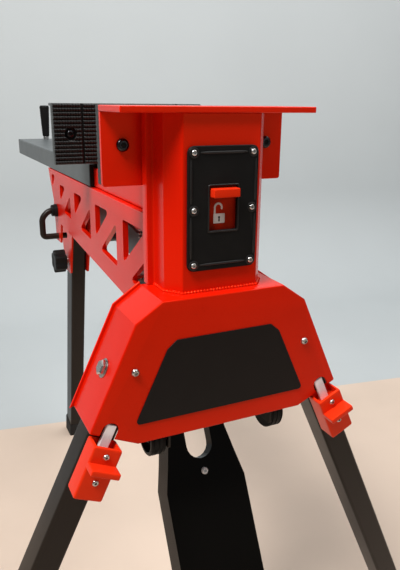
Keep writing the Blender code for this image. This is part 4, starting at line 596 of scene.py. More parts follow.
def knurled_pad(node, body, way, drilled):
    """A jaw pad in rows of teeth: y = f - w d (1 - r(z) (b + (1 - b) k(x))), with waves r and k."""
    low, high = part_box(node)
    x = np.linspace(low[0], high[0], int((high[0] - low[0]) / TOOTH_PITCH * TOOTH_STEPS) + 1)
    z = np.linspace(low[2], high[2], PAD_ROWS * ROW_STEPS + 1)
    across, along = np.meshgrid(x, z)
    ridge = trapezoid((high[2] - along) / (high[2] - low[2]) * PAD_ROWS, ROW_FLANK)
    tooth = trapezoid(across / TOOTH_PITCH, TOOTH_FLANK)
    sink = TOOTH_DEPTH * (1.0 - ridge * (ROW_BASE + (1.0 - ROW_BASE) * tooth))
    if drilled:
        bolt = middle_of(*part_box("moving_jaw_bolt_right"))
        groove = np.abs(np.abs(across) - bolt[0] + PAD_GROOVE_IN) < PAD_GROOVE_HALF
        sink = np.where(groove, PAD_GROOVE_DEPTH, sink)
        well = np.hypot(np.abs(across) - bolt[0], along - bolt[2]) < BOLT_WELL_R
        sink = np.where(well, BOLT_WELL_DEPTH, sink)
    face = low[1] if way < 0 else high[1]
    back = high[1] if way < 0 else low[1]
    front = np.stack((across, face - way * sink, along), -1)
    keep(node + "_knurled", relief(front, back), "pad", body, (node,), sharp=PAD_SHARP)


def jaw_bolts(jaw, body, radius, height, sunk):
    """Both bolts of a jaw, each with a socket head that starts behind the front of the plain one."""
    for _, word in SIDES:
        node = f"{jaw}_bolt_{word}"
        dress(node, "plastic", FINE_EDGE)
        low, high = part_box(node)
        centre = middle_of(low, high)
        spot = facing(centre[0], low[1] + sunk, centre[2])
        keep(node + "_head", placed(socket_screw(radius, height), spot), "blackened", body)


# Materials

class Nodes:
    """Adds and links nodes in one material."""

    def __init__(self, name):
        """Start a material that holds only a Principled shader and its output."""
        self.material = bpy.data.materials.new(name)
        self.material.use_nodes = True
        self.tree = self.material.node_tree
        self.shader = self.tree.nodes["Principled BSDF"]
        self.place = self.tree.nodes.new("ShaderNodeTexCoord").outputs["Object"]

    def node(self, kind, **sockets):
        """A node with values or links set on its sockets."""
        made = self.tree.nodes.new(kind)
        for name, value in sockets.items():
            self.fill(made.inputs[name.replace("_", " ")], value)
        return made

    def fill(self, socket, value):
        """Set a socket's value, or link it to another node's output."""
        if isinstance(value, bpy.types.NodeSocket):
            self.tree.links.new(value, socket)
        else:
            socket.default_value = value

    def noise(self, scale, detail, stretch=None):
        """Noise over the piece's own coordinates, from 0 to 1."""
        place = self.place
        if stretch:
            place = self.node("ShaderNodeMapping", Vector=place, Scale=stretch).outputs["Vector"]
        return self.node("ShaderNodeTexNoise", Vector=place, Scale=scale, Detail=detail).outputs["Fac"]

    def span(self, value, low, high, start=0.35, end=0.65):
        """A value's range mapped onto another one."""
        made = self.node("ShaderNodeMapRange", Value=value, From_Min=start, From_Max=end, To_Min=low,
                         To_Max=high)
        return made.outputs["Result"]

    def mix(self, share, first, second):
        """Two colours mixed by a share."""
        made = self.tree.nodes.new("ShaderNodeMix")
        made.data_type = "RGBA"
        self.fill(made.inputs[0], share)
        self.fill(made.inputs[6], first)
        self.fill(made.inputs[7], second)
        return made.outputs[2]

    def bump(self, height, strength, distance, normal=None):
        """A bump from a height, over an earlier one if given."""
        made = self.node("ShaderNodeBump", Height=height, Strength=strength, Distance=distance)
        if normal:
            self.fill(made.inputs["Normal"], normal)
        return made.outputs["Normal"]

    def edges(self, low, high):
        """How far the surface's sharpness lies on the way from one value to another, from 0 to 1."""
        pointed = self.tree.nodes.new("ShaderNodeNewGeometry").outputs["Pointiness"]
        return self.span(pointed, 0.0, 1.0, start=low, end=high)

    def finish(self, colour, roughness, normal=None, **values):
        """Feed the shader and return the material."""
        self.fill(self.shader.inputs["Base Color"], colour)
        self.fill(self.shader.inputs["Roughness"], roughness)
        if normal:
            self.fill(self.shader.inputs["Normal"], normal)
        for name, value in values.items():
            self.fill(self.shader.inputs[name.replace("_", " ")], value)
        return self.material


def tone(colour, factor):
    """A colour made lighter or darker."""
    return tuple(min(1.0, part * factor) for part in colour[:3]) + (1.0,)


def powder_coat(name, colour, roughness, grain, depth, sheen, tint=PLAIN_TINT):
    """Baked paint: fine orange peel, faint clouding, and a painted highlight that lightens sharp edges."""
    n = Nodes(name)
    clouds = n.span(n.noise(scale=9.0, detail=4.0), 0.0, 1.0)
    base = n.mix(clouds, tone(colour, 0.95), tone(colour, 1.04))
    specks = n.span(n.noise(scale=420.0, detail=2.0), 0.0, 0.5, start=0.62, end=0.75)
    base = n.mix(specks, base, tone(colour, 0.8))
    # Painted highlight: sharp edges made lighter
    base = n.mix(n.edges(0.53, 0.60), base, tone(colour, 1.25))
    peel = n.bump(n.noise(scale=grain, detail=2.0), strength=0.3, distance=depth)
    smear = n.span(n.noise(scale=26.0, detail=5.0), roughness * 0.96, roughness * 1.05)
    return n.finish(base, smear, peel, Specular_IOR_Level=sheen, Specular_Tint=tint)


def moulded(name, colour, roughness, grain, depth, scuff, sheen=0.3, tint=PLAIN_TINT):
    """Moulded plastic: even grain in the bump, faint patches of dust, scuffed edges."""
    n = Nodes(name)
    dust = n.span(n.noise(scale=34.0, detail=6.0), 0.0, 0.35, start=0.5, end=0.8)
    base = n.mix(dust, tone(colour, 1.0), tone(colour, scuff))
    base = n.mix(n.edges(0.53, 0.62), base, tone(colour, scuff))
    cells = n.node("ShaderNodeTexVoronoi", Vector=n.place, Scale=grain).outputs["Distance"]
    skin = n.bump(cells, strength=0.25, distance=depth)
    skin = n.bump(n.noise(scale=60.0, detail=3.0), strength=0.06, distance=depth * 3.0, normal=skin)
    rough = n.span(n.noise(scale=48.0, detail=4.0), roughness * 0.88, roughness * 1.12)
    return n.finish(base, rough, skin, Specular_IOR_Level=sheen, Specular_Tint=tint)


def switch_plastic_painted_shade(name, colour, roughness, near, far, tint):
    """Red plastic with painted shade: darker from its tab, at one y, to its recessed backing deep in the
    window, at another.
    """
    n = Nodes(name)
    depth = n.node("ShaderNodeSeparateXYZ", Vector=n.place).outputs["Y"]
    # Painted shade: the recessed backing darkened to 30% of the colour
    base = n.mix(n.span(depth, 0.0, 1.0, start=near, end=far), tone(colour, 1.0), tone(colour, 0.30))
    base = n.mix(n.span(n.noise(scale=40.0, detail=5.0), 0.0, 0.4), base, tone(colour, 0.8))
    skin = n.bump(n.noise(scale=1500.0, detail=2.0), strength=0.2, distance=0.00005)
    rough = n.span(n.noise(scale=60.0, detail=3.0), roughness * 0.85, roughness * 1.2)
    return n.finish(base, rough, skin, Specular_IOR_Level=0.2, Specular_Tint=tint)


def plated(name, colour, roughness, stretch, metal=1.0):
    """Plated steel: fine drawn lines along one axis, faint bloom in the gloss, painted shade in the hollows.
    """
    n = Nodes(name)
    lines = n.noise(scale=160.0, detail=4.0, stretch=stretch)
    bloom = n.span(n.noise(scale=45.0, detail=4.0), 0.0, 1.0)
    base = n.mix(bloom, tone(colour, 0.88), tone(colour, 1.08))
    # Painted shade: hollows such as hex sockets made almost black
    base = n.mix(n.edges(0.49, 0.42), base, tone(colour, 0.05))
    rough = n.span(lines, roughness * 0.7, roughness * 1.4)
    return n.finish(base, rough, n.bump(lines, strength=0.12, distance=0.00008), Metallic=metal)


def ground(name, colour, scale, roughness):
    """A pale stage surface with soft clouding."""
    n = Nodes(name)
    clouds = n.span(n.noise(scale=scale, detail=5.0), 0.0, 1.0)
    return n.finish(n.mix(clouds, tone(colour, 0.94), tone(colour, 1.04)), roughness)


def make_finishes(colours, fine):
    """Every finish of the bench, made once and shared."""
    FINISHES.update(
        red=powder_coat("red powder coat", colours.red, roughness=0.24, grain=700.0 * fine, depth=0.00010,
                        sheen=0.5, tint=WARM_TINT),
        grey=powder_coat("grey powder coat", colours.grey, roughness=0.42, grain=1100.0 * fine, depth=0.00010,
                         sheen=0.4),
        black=powder_coat("black powder coat", colours.black, roughness=0.34, grain=900.0 * fine,
                          depth=0.00008, sheen=0.2),
        gloss=powder_coat("glossy black coat", colours.gloss, roughness=0.20, grain=600.0 * fine,
                          depth=0.00006, sheen=0.04),
        plastic=moulded("black plastic", colours.plastic, roughness=0.46, grain=1300.0 * fine, depth=0.00012,
                        scuff=2.2, sheen=0.12),
        pad=moulded("jaw pad plastic", colours.plastic, roughness=0.38, grain=900.0 * fine, depth=0.00015,
                    scuff=2.0, sheen=0.35),
        red_plastic=moulded("red plastic", colours.red_plastic, roughness=0.34, grain=1800.0 * fine,
                            depth=0.00004, scuff=1.15, sheen=0.4, tint=WARM_TINT),
        # The switch finish has painted shade on its recessed backing
        switch=switch_plastic_painted_shade("switch plastic", colours.red_plastic, roughness=0.3, near=FRONT_Y - TAB_BACK,
                              far=FRONT_Y - BACKING_FRONT, tint=WARM_TINT),
        rubber=moulded("rubber", colours.rubber, roughness=0.78, grain=800.0 * fine, depth=0.0002, scuff=2.6),
        steel=plated("zinc plate", colours.steel, roughness=0.26, stretch=(1.0, 0.08, 1.0)),
        bright=plated("bright plate", colours.bright, roughness=0.34, stretch=(1.0, 1.0, 0.1), metal=0.08),
        blackened=plated("blackened steel", colours.blackened, roughness=0.24, stretch=(1.0, 1.0, 1.0)),
        label=moulded("label film", colours.label, roughness=0.38, grain=2400.0 * fine, depth=0.00003,
                      scuff=1.5, sheen=0.13),
        mark=moulded("printed mark", colours.mark, roughness=0.45, grain=2200.0 * fine, depth=0.00003,
                     scuff=1.05),
    )


# Settings

def colour_setting(name, description, default):
    """A colour that a user may change."""
    return bpy.props.FloatVectorProperty(name=name, description=description, default=default, subtype="COLOR",
                                         size=3, min=0.0, max=1.0)


def length_setting(name, description, default, low, high):
    """A length that a user may change."""
    return bpy.props.FloatProperty(name=name, description=description, default=default, subtype="DISTANCE",
                                   unit="LENGTH", min=low, max=high)


def power_setting(name, description, default):
    """A light's power that a user may change."""
    return bpy.props.FloatProperty(name=name, description=description, default=default, subtype="POWER",
                                   unit="POWER", min=0.0, max=500.0)


class WORKBENCH_PG_colours(bpy.types.PropertyGroup):
    """Base colours of the finishes."""

    red: colour_setting("Red paint", "Powder coat of the sheet metal", (0.60, 0.008, 0.001))
    grey: colour_setting("Grey paint", "Powder coat of beam, tie and moving jaw", (0.078, 0.089, 0.093))
    black: colour_setting("Black paint", "Powder coat of legs, axle and crank", (0.0125, 0.0090, 0.0068))
    gloss: colour_setting("Glossy black", "Paint of the pedal", (0.003, 0.0025, 0.002))
    plastic: colour_setting("Black plastic", "Panel, pads, grip, knob and rollers", (0.006, 0.006, 0.006))
    red_plastic: colour_setting("Red plastic", "Switch and leg latches", (0.72, 0.026, 0.005))
    rubber: colour_setting("Rubber", "Feet and pedal tread", (0.009, 0.009, 0.009))
    steel: colour_setting("Zinc plate", "Fasteners, rods and the return spring", (0.54, 0.54, 0.53))
    bright: colour_setting("Bright plate", "Latch tongues and pedal screw", (0.94, 0.95, 0.97))
    blackened: colour_setting("Blackened steel", "Bolt heads of the two jaws", (0.035, 0.035, 0.038))
    label: colour_setting("Label", "Film on the leg housing", (0.008, 0.0065, 0.006))
    mark: colour_setting("Mark", "Padlock sign on the switch", (0.52, 0.47, 0.45))


class WORKBENCH_PG_sizes(bpy.types.PropertyGroup):
    """Sizes of the small details, and the lights."""

    edge: length_setting("Edge radius", "Rounding on cut sheet edges", 0.0006, low=0.0001, high=0.003)
    grain: bpy.props.FloatProperty(name="Grain", description="How fine the paint and plastic grain is",
                                   default=1.0, min=0.2, max=4.0)
    weld: length_setting("Weld bead", "Radius of the column's weld", 0.0020, low=0.0005, high=0.004)
    key_power: power_setting("Key light", "Power of the light above on the left", 104.0)
    fill_power: power_setting("Fill light", "Power of the light in front", 4.0)
    top_power: power_setting("Overhead light", "Power of the large light above on the right", 64.0)


def colours_of(context):
    """The colour settings."""
    return context.scene.workbench_colours


def sizes_of(context):
    """The size settings."""
    return context.scene.workbench_sizes


# Pieces

class WORKBENCH_OT_finishes(bpy.types.Operator):
    """Make the finishes that the pieces share"""

    bl_idname = "workbench.finishes"
    bl_label = "Finishes"

    def execute(self, context):
        """Build the materials."""
        make_finishes(colours_of(context), sizes_of(context).grain)
        return {"FINISHED"}


class WORKBENCH_OT_column(bpy.types.Operator):
    """Dress the column, its top plate and the fixed jaw"""

    bl_idname = "workbench.column"
    bl_label = "Column and fixed jaw"

    def execute(self, context):
        """Rounded sheet edges, pad, bolts and the weld at the column's foot."""
        sizes = sizes_of(context)
        for node in ("column", "column_back", "top_plate", "fixed_jaw_plate"):
            dress(node, "red", sizes.edge)
        knurled_pad("fixed_jaw_pad", "bench", way=1, drilled=False)
        jaw_bolts("fixed_jaw", "bench", FIXED_HEAD_R, FIXED_HEAD_H, FIXED_HEAD_SUNK)
        self.weld(sizes.weld)
        return {"FINISHED"}

    def weld(self, radius):
        """A bead round the column's front: radius r (1 + w sin 2 pi s / p) along its foot."""
        left = [(-WELD_SIDE_X, WELD_END_Y), (-WELD_SIDE_X, WELD_CORNER_Y), (-WELD_FACE_X, WELD_FACE_Y)]
        corners = np.array(left + [(-x, y) for x, y in reversed(left)])
        steps = np.linalg.norm(np.diff(corners, axis=0), axis=1)
        length = np.concatenate(([0.0], np.cumsum(steps)))
        run = np.linspace(0.0, length[-1], WELD_STEPS)
        x = np.interp(run, length, corners[:, 0])
        y = np.interp(run, length, corners[:, 1]) + FRONT_Y
        path = np.column_stack((x, y, np.full(len(run), HOUSING_TOP + radius * WELD_RISE)))
        bead = radius * (1.0 + WELD_WAVE * np.sin(2.0 * np.pi * run / WELD_PITCH))
        keep("column_weld", sweep(path, bead, TUBE_AROUND), "red", "bench", sharp=TUBE_SHARP)


class WORKBENCH_OT_switch(bpy.types.Operator):
    """Dress the switch panel and the slide switch"""

    bl_idname = "workbench.switch"
    bl_label = "Switch panel"

    def execute(self, context):
        """Panel with beads, bosses and socket screws; switch with its padlock sign."""
        dress("switch_panel", "plastic", FINE_EDGE)
        face = FRONT_Y - PANEL_T
        middle = (PANEL_LOW[2] + PANEL_HIGH[2]) / 2
        rows = (PANEL_LOW[2] + PANEL_SCREW_IN, middle, PANEL_HIGH[2] - PANEL_SCREW_IN)
        spots = [facing(x, face, z) for x in (-PANEL_SCREW_X, PANEL_SCREW_X) for z in rows]
        screw = socket_screw(PANEL_SCREW_R, PANEL_SCREW_H, PANEL_SCREW_FLOOR)
        boss = revolve(BOSS_SECTION, BOSS_STEPS)
        keep("switch_panel_screws", copies(screw, spots), "steel", "bench")
        keep("switch_panel_bosses", copies(boss, spots), "pad", "bench")
        self.beads(face, rows)
        dress("release_slider", "switch", THIN_EDGE)
        self.sign()
        return {"FINISHED"}

    def beads(self, face, rows):
        """Half-round beads p = a + s (b - a) between the screws, thin at their ends, and the window's rim."""
        low, middle, high = rows
        lines = [((-BEAD_HALF, z), (BEAD_HALF, z)) for z in (low, high)]
        for x in (-BEAD_X, BEAD_X):
            lines.append(((x, low + BEAD_CLEAR), (x, middle - BEAD_CLEAR)))
            lines.append(((x, middle + BEAD_CLEAR), (x, high - BEAD_CLEAR)))
        run = np.linspace(0.0, 1.0, BEAD_STEPS)[:, None]
        arch = np.sqrt(np.sin(np.pi * np.linspace(BEAD_END, 1.0 - BEAD_END, BEAD_STEPS)))
        swell = BEAD_R * arch.clip(BEAD_THIN, BEAD_FULL) / BEAD_FULL
        tubes = []
        for start, end in lines:
            flat = np.array(start) * (1.0 - run) + np.array(end) * run
            tubes.append(sweep(upright(flat, face), swell, TUBE_AROUND))
        window = ring_outline(WINDOW_W, WINDOW_H, WINDOW_R, steps=4) + np.array((0.0, middle + WINDOW_UP))
        tubes.append(sweep(upright(window, face), WINDOW_RIM_R, TUBE_AROUND, closed=True))
        keep("switch_panel_beads", together(tubes), "pad", "bench", sharp=BEAD_SHARP)

    def sign(self):
        """An open padlock on the backing: a body, a lifted shackle r (cos a, sin a) and a keyhole."""
        backing = FRONT_Y + SIGN_BACK
        spot = facing(SIGN_X, backing, SIGN_Z + LOCK_UP)
        plate = ring_outline(LOCK_W, LOCK_H, LOCK_R)
        body = placed(prism(plate, SIGN_UNDER, SIGN_OVER, SIGN_ROUND), spot)
        upper = np.radians(np.linspace(BOW_OPEN, 180.0, BOW_STEPS))
        arc = np.column_stack((np.cos(upper), np.sin(upper)))
        leg = [(-BOW_OUT, -BOW_LEG), (-BOW_IN, -BOW_LEG)]
        bow = np.concatenate((BOW_OUT * arc, leg, BOW_IN * arc[::-1]))
        spot = facing(SIGN_X - BOW_LEFT, backing, SIGN_Z + BOW_UP)
        shackle = placed(prism(bow, SIGN_UNDER, SIGN_OVER, BOW_ROUND, steps=2), spot)
        keep("switch_sign", together((body, shackle)), "mark", "release_switch")
        turn = np.radians(np.linspace(-KEYHOLE_OPEN, 180.0 + KEYHOLE_OPEN, KEYHOLE_STEPS))
        eye = np.column_stack((KEYHOLE_R * np.cos(turn), KEYHOLE_EYE_UP + KEYHOLE_R * np.sin(turn)))
        foot = [(-KEYHOLE_HALF, -KEYHOLE_FOOT), (KEYHOLE_HALF, -KEYHOLE_FOOT)]
        spot = facing(SIGN_X, backing - KEYHOLE_FRONT, SIGN_Z + KEYHOLE_UP)
        hole = prism(np.concatenate((eye, foot)), -KEYHOLE_FRONT, KEYHOLE_OVER, KEYHOLE_ROUND, steps=1)
        keep("switch_keyhole", placed(hole, spot), "label", "release_switch")


class WORKBENCH_OT_housing(bpy.types.Operator):
    """Dress the leg housing, its label, bolts and rollers"""

    bl_idname = "workbench.housing"
    bl_label = "Leg housing"

    def execute(self, context):
        """Pressed housing, label, screws, pivot bolts with washers, axle and grooved rollers."""
        dress("housing", "red", sizes_of(context).edge)
        dress("label_plate", "label", FINE_EDGE)
        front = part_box("label_plate")[1][1] + LABEL_GAP
        screw = socket_screw(HOUSING_SCREW_R, HOUSING_SCREW_H, HOUSING_SCREW_FLOOR)
        spots = [facing(side * HOUSING_SCREW_X, front, HOUSING_SCREW_Z) for side, _ in SIDES]
        keep("housing_screws", copies(screw, spots), "steel", "bench")
        for side, word in SIDES:
            dress(f"leg_pivot_bolt_{word}", "steel", BOLT_EDGE)
            self.washer(side, word)
            self.roller(side, word)
        dress("wheel_axle", "black", PLAIN_EDGE)
        self.flange()
        return {"FINISHED"}

    def washer(self, side, word):
        """A flat washer with eased rims, turned about the pivot bolt."""
        rim = WASHER_R - WASHER_EASE_R
        profile = [(WASHER_BORE, WASHER_LOW), (rim, WASHER_LOW), (WASHER_R, WASHER_LOW + WASHER_EASE_H),
                   (WASHER_R, WASHER_HIGH - WASHER_EASE_H), (rim, WASHER_HIGH), (WASHER_BORE, WASHER_HIGH)]
        seat = leg_frame(side, word) @ Matrix.Translation((side * WASHER_OUT, 0, 0))
        seat = seat @ Matrix.Rotation(side * math.pi / 2, 4, "Y")
        keep(f"leg_pivot_washer_{word}", placed(lathe(profile, WASHER_STEPS), seat), "steel", "bench")

    def flange(self):
        """A lip along the housing's rear edges: strips between its outline moved in and moved out."""
        right = list(LIP_CORNERS)
        outline = np.array(right + [(-x, z) for x, z in reversed(right)])
        outer = inset(outline, -LIP_OUT)
        inner = inset(outline, LIP_IN)
        spot = facing(0.0, HOUSING_BACK, HOUSING_TOP)
        strips = []
        # The slanted edges on the right, then those on the left
        for part in (slice(1, 4), slice(4, 7)):
            strip = np.concatenate((outer[part], inner[part][::-1]))
            strips.append(placed(prism(strip, 0.0, LIP_T, LIP_ROUND), spot))
        keep("housing_flange", together(strips), "red", "bench")

    def roller(self, side, word):
        """A hollow roller: the tread's radius has grooves, r = R - g max(0, cos 2 pi n h / w)^4."""
        low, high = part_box(f"wheel_{word}")
        half = (high[0] - low[0]) / 2
        radius = (high[2] - low[2]) / 2
        rim = radius - ROLLER_EDGE
        height = np.linspace(-half + ROLLER_EDGE, half - ROLLER_EDGE, TREAD_STEPS)
        wave = np.cos(2.0 * np.pi * GROOVES * height / (2.0 * half))
        tread = np.column_stack((radius - GROOVE_DEPTH * np.maximum(0.0, wave) ** 4, height))
        cup = radius - ROLLER_WALL
        hub = half - HUB_BELOW
        inside = [(rim, half), (cup + CUP_EASE, half), (cup, half - CUP_EASE),
                  (cup - WEB_EASE, WEB_H + WEB_RISE), (cup - 2 * WEB_EASE, WEB_H), (HUB_R + HUB_FOOT, WEB_H),
                  (HUB_R + HUB_TAPER, WEB_H + WEB_EASE), (HUB_R, hub - HUB_EASE), (HUB_R - HUB_EASE, hub),
                  (ROLLER_BORE, hub), (ROLLER_BORE, -half), (rim, -half)]
        place = Matrix.Translation(middle_of(low, high)) @ Matrix.Rotation(side * math.pi / 2, 4, "Y")
        shape = revolve(np.concatenate((tread, inside)), ROLLER_STEPS)
        keep(f"wheel_{word}_roller", placed(shape, place), "plastic", f"{word}_wheel", (f"wheel_{word}",))


class WORKBENCH_OT_front_legs(bpy.types.Operator):
    """Dress the front legs, their feet and latches"""

    bl_idname = "workbench.front_legs"
    bl_label = "Front legs"

    def execute(self, context):
        """Tubes, rubber feet, latches with screws and bright tongues."""
        screw = socket_screw(LATCH_SCREW_R, LATCH_SCREW_H)
        for side, word in SIDES:
            dress(f"front_leg_{word}", "black", THIN_EDGE, segments=1)
            dress(f"front_foot_{word}", "rubber", SOFT_EDGE)
            dress(f"latch_slider_{word}", "red_plastic", SOFT_EDGE)
            dress(f"latch_tongue_{word}", "bright", THIN_EDGE)
            spots = [leg_frame(side, word) @ facing(0.0, LATCH_SCREW_Y, z) for z in LATCH_SCREW_Z]
            keep(f"latch_screws_{word}", copies(screw, spots), "steel", f"{word}_latch")
        return {"FINISHED"}


class WORKBENCH_OT_chassis(bpy.types.Operator):
    """Dress the chassis, the rail and the rear fork"""

    bl_idname = "workbench.chassis"
    bl_label = "Chassis"

    def execute(self, context):
        """Painted plates with eased edges, the rail, its glide, the tie and the fork."""
        edge = sizes_of(context).edge
        for node in ("chassis_left", "chassis_right", "rear_fork_left", "rear_fork_right", "rear_cross_plate",
                     "rail"):
            dress(node, "red", edge)
        dress("chassis_tie", "grey", edge)
        dress("rear_glide", "plastic", FINE_EDGE, segments=1)
        dress("rear_pivot_bolt", "steel", BOLT_EDGE)
        return {"FINISHED"}


class WORKBENCH_OT_beam(bpy.types.Operator):
    """Dress the sliding beam, the moving jaw and the pull handle"""

    bl_idname = "workbench.beam"
    bl_label = "Beam and moving jaw"

    def execute(self, context):
        """Textured beam, glide, cap, jaw plate, knurled pad, bolts and a turned handle."""
        edge = sizes_of(context).edge
        for node in ("slide_beam", "moving_jaw_plate", "jaw_bracket"):
            dress(node, "grey", edge)
        for node in ("front_glide", "beam_end_cap"):
            dress(node, "plastic", PLAIN_EDGE)
        knurled_pad("moving_jaw_pad", "moving_jaw", way=-1, drilled=True)
        dress("draw_bar", "steel", BOLT_EDGE)
        jaw_bolts("moving_jaw", "moving_jaw", MOVING_HEAD_R, MOVING_HEAD_H, MOVING_HEAD_SUNK)
        dress("handle_stud", "steel", THIN_EDGE)
        self.handle()
        return {"FINISHED"}

    def handle(self):
        """A tapered grip r(h) = R (n + (1 - n) (h / l)^c) with shallow rings, a dome and a bore."""
        low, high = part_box("handle_grip")
        length = high[2] - low[2]
        top = (high[0] - low[0]) / 2
        height = np.linspace(GRIP_START, length - GRIP_END, GRIP_STEPS)
        radius = top * (GRIP_NARROW + (1.0 - GRIP_NARROW) * (height / length) ** GRIP_CURVE)
        radius = radius - RING_DEPTH * (0.5 + 0.5 * np.cos(2.0 * np.pi * height / RING_PITCH)) ** 3
        crown = np.radians(np.linspace(0.0, DOME_TURN, DOME_STEPS))
        narrow = top - DOME_IN * (1.0 - np.cos(crown))
        dome = np.column_stack((narrow, length - DOME_H + DOME_H * np.sin(crown)))
        below = [(STUD_BORE_R, length * STUD_BORE_SHARE + STUD_BORE_PAST), (STUD_BORE_R, 0.0),
                 (top * GRIP_FOOT, 0.0), (top * GRIP_NECK, GRIP_NECK_H)]
        profile = np.concatenate((below, np.column_stack((radius, height)), dome))
        centre = middle_of(low, high)
        place = Matrix.Translation((centre[0], centre[1], low[2]))
        shape = placed(lathe(profile, GRIP_AROUND), place)
        keep("handle_grip_turned", shape, "plastic", "pull_handle", ("handle_grip",))


class WORKBENCH_OT_rear_leg(bpy.types.Operator):
    """Dress the rear leg, the star knob and the lock pull"""

    bl_idname = "workbench.rear_leg"
    bl_label = "Rear leg"

    def execute(self, context):
        """Tube and foot, lobed knob, screw, bent pull and its barrel."""
        dress("rear_leg", "black", THIN_EDGE, segments=1)
        dress("rear_foot", "rubber", SOFT_EDGE)
        dress("clamp_screw", "steel", THIN_EDGE)
        dress("lock_barrel", "plastic", PLAIN_EDGE)
        self.knob()
        self.pull()
        return {"FINISHED"}

    def knob(self):
        """A star knob: r(t) = R (1 - w + w cos n t), its faces domed by rounding both rims."""
        low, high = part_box("clamp_knob")
        length = high[0] - low[0]
        size = (high[1] - low[1]) / 2
        turn = full_turn(KNOB_STEPS)
        lobes = 1.0 - KNOB_WAVE + KNOB_WAVE * np.cos(KNOB_LOBES * turn)
        rings = []
        for share, height in KNOB_STATIONS:
            depth = np.clip((share - KNOB_PLAIN) / KNOB_BLEND, 0.0, 1.0)
            radius = size * share * (1.0 - depth + depth * lobes)
            rings.append(polar(radius, turn, length * height))
        centre = middle_of(low, high)
        place = Matrix.Translation((high[0], centre[1], centre[2])) @ Matrix.Rotation(-math.pi / 2, 4, "Y")
        keep("clamp_knob_star", placed(loft(rings), place), "plastic", "knob", ("clamp_knob",))

    def pull(self):
        """A rod along a soft-cornered line in one plane, slanted beside its barrel, and the pin beyond."""
        low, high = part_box("lock_pull")
        out = low[0] + PULL_R
        upper = high[2] - PULL_R
        lower = low[2] + PULL_R
        plane = (low[1] + high[1]) / 2
        corners = [(PULL_LOW_X, lower), (out, lower), (out, upper - PULL_SLANT), (PULL_SHOULDER_X, upper),
                   (PULL_TOP_X, upper)]
        rod = sweep(upright(eased(corners, PULL_BEND_R), plane), PULL_R, PULL_AROUND)
        axis = np.array([(PIN_START_X, upper), (high[0] - PIN_TIP, upper), (high[0], upper)])
        pin = sweep(upright(axis, plane), np.array((PIN_R, PIN_R, PIN_TIP_R)), PIN_AROUND)
        keep("lock_pull_rod", together((rod, pin)), "black", "pull", ("lock_pull",))


class WORKBENCH_OT_pedal(bpy.types.Operator):
    """Dress the pedal and the drive behind it"""

    bl_idname = "workbench.pedal"
    bl_label = "Pedal and drive"

    def execute(self, context):
        """Pressed pedal, tread, screw, crank, rods, locking plate and the return spring."""
        edge = sizes_of(context).edge
        dress("pedal", "gloss", edge)
        dress("pedal_crank", "black", edge)
        dress("pedal_tread", "rubber", BOLT_EDGE)
        for node in ("pedal_screw", "pedal_pivot", "drive_rod", "release_rod", "lock_plate"):
            dress(node, "steel", THIN_EDGE)
        self.screw()
        self.spring()
        return {"FINISHED"}

    def screw(self):
        """A socket head over the plain one on the pedal's face."""
        lean = Matrix.Translation(JOINTS["pedal_press"]["pos_m"]) @ Matrix.Rotation(-PEDAL_LEAN, 4, "X")
        head = socket_screw(PEDAL_SCREW_R, PEDAL_SCREW_H, PEDAL_SCREW_FLOOR)
        spot = lean @ facing(0.0, PEDAL_SCREW_Y, PEDAL_SCREW_Z)
        keep("pedal_screw_head", placed(head, spot), "bright", "foot_pedal")

    def spring(self):
        """A helix c(s) = (R cos 2 pi n s, R sin 2 pi n s, h s) swept with the wire's radius."""
        low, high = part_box("pedal_spring")
        radius = (high[0] - low[0]) / 2 - SPRING_WIRE
        share = np.linspace(0.0, 1.0, SPRING_TURNS * SPRING_STEPS + 1)
        middle = middle_of(low, high)
        rise = low[2] + SPRING_WIRE + (high[2] - low[2] - 2 * SPRING_WIRE) * share
        path = polar(radius, 2.0 * np.pi * SPRING_TURNS * share, rise) + (middle[0], middle[1], 0.0)
        wire = sweep(path, SPRING_WIRE, TUBE_AROUND)
        coil = keep("pedal_spring_coil", wire, "steel", "bench", ("pedal_spring",), sharp=TUBE_SHARP)
        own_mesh(coil)


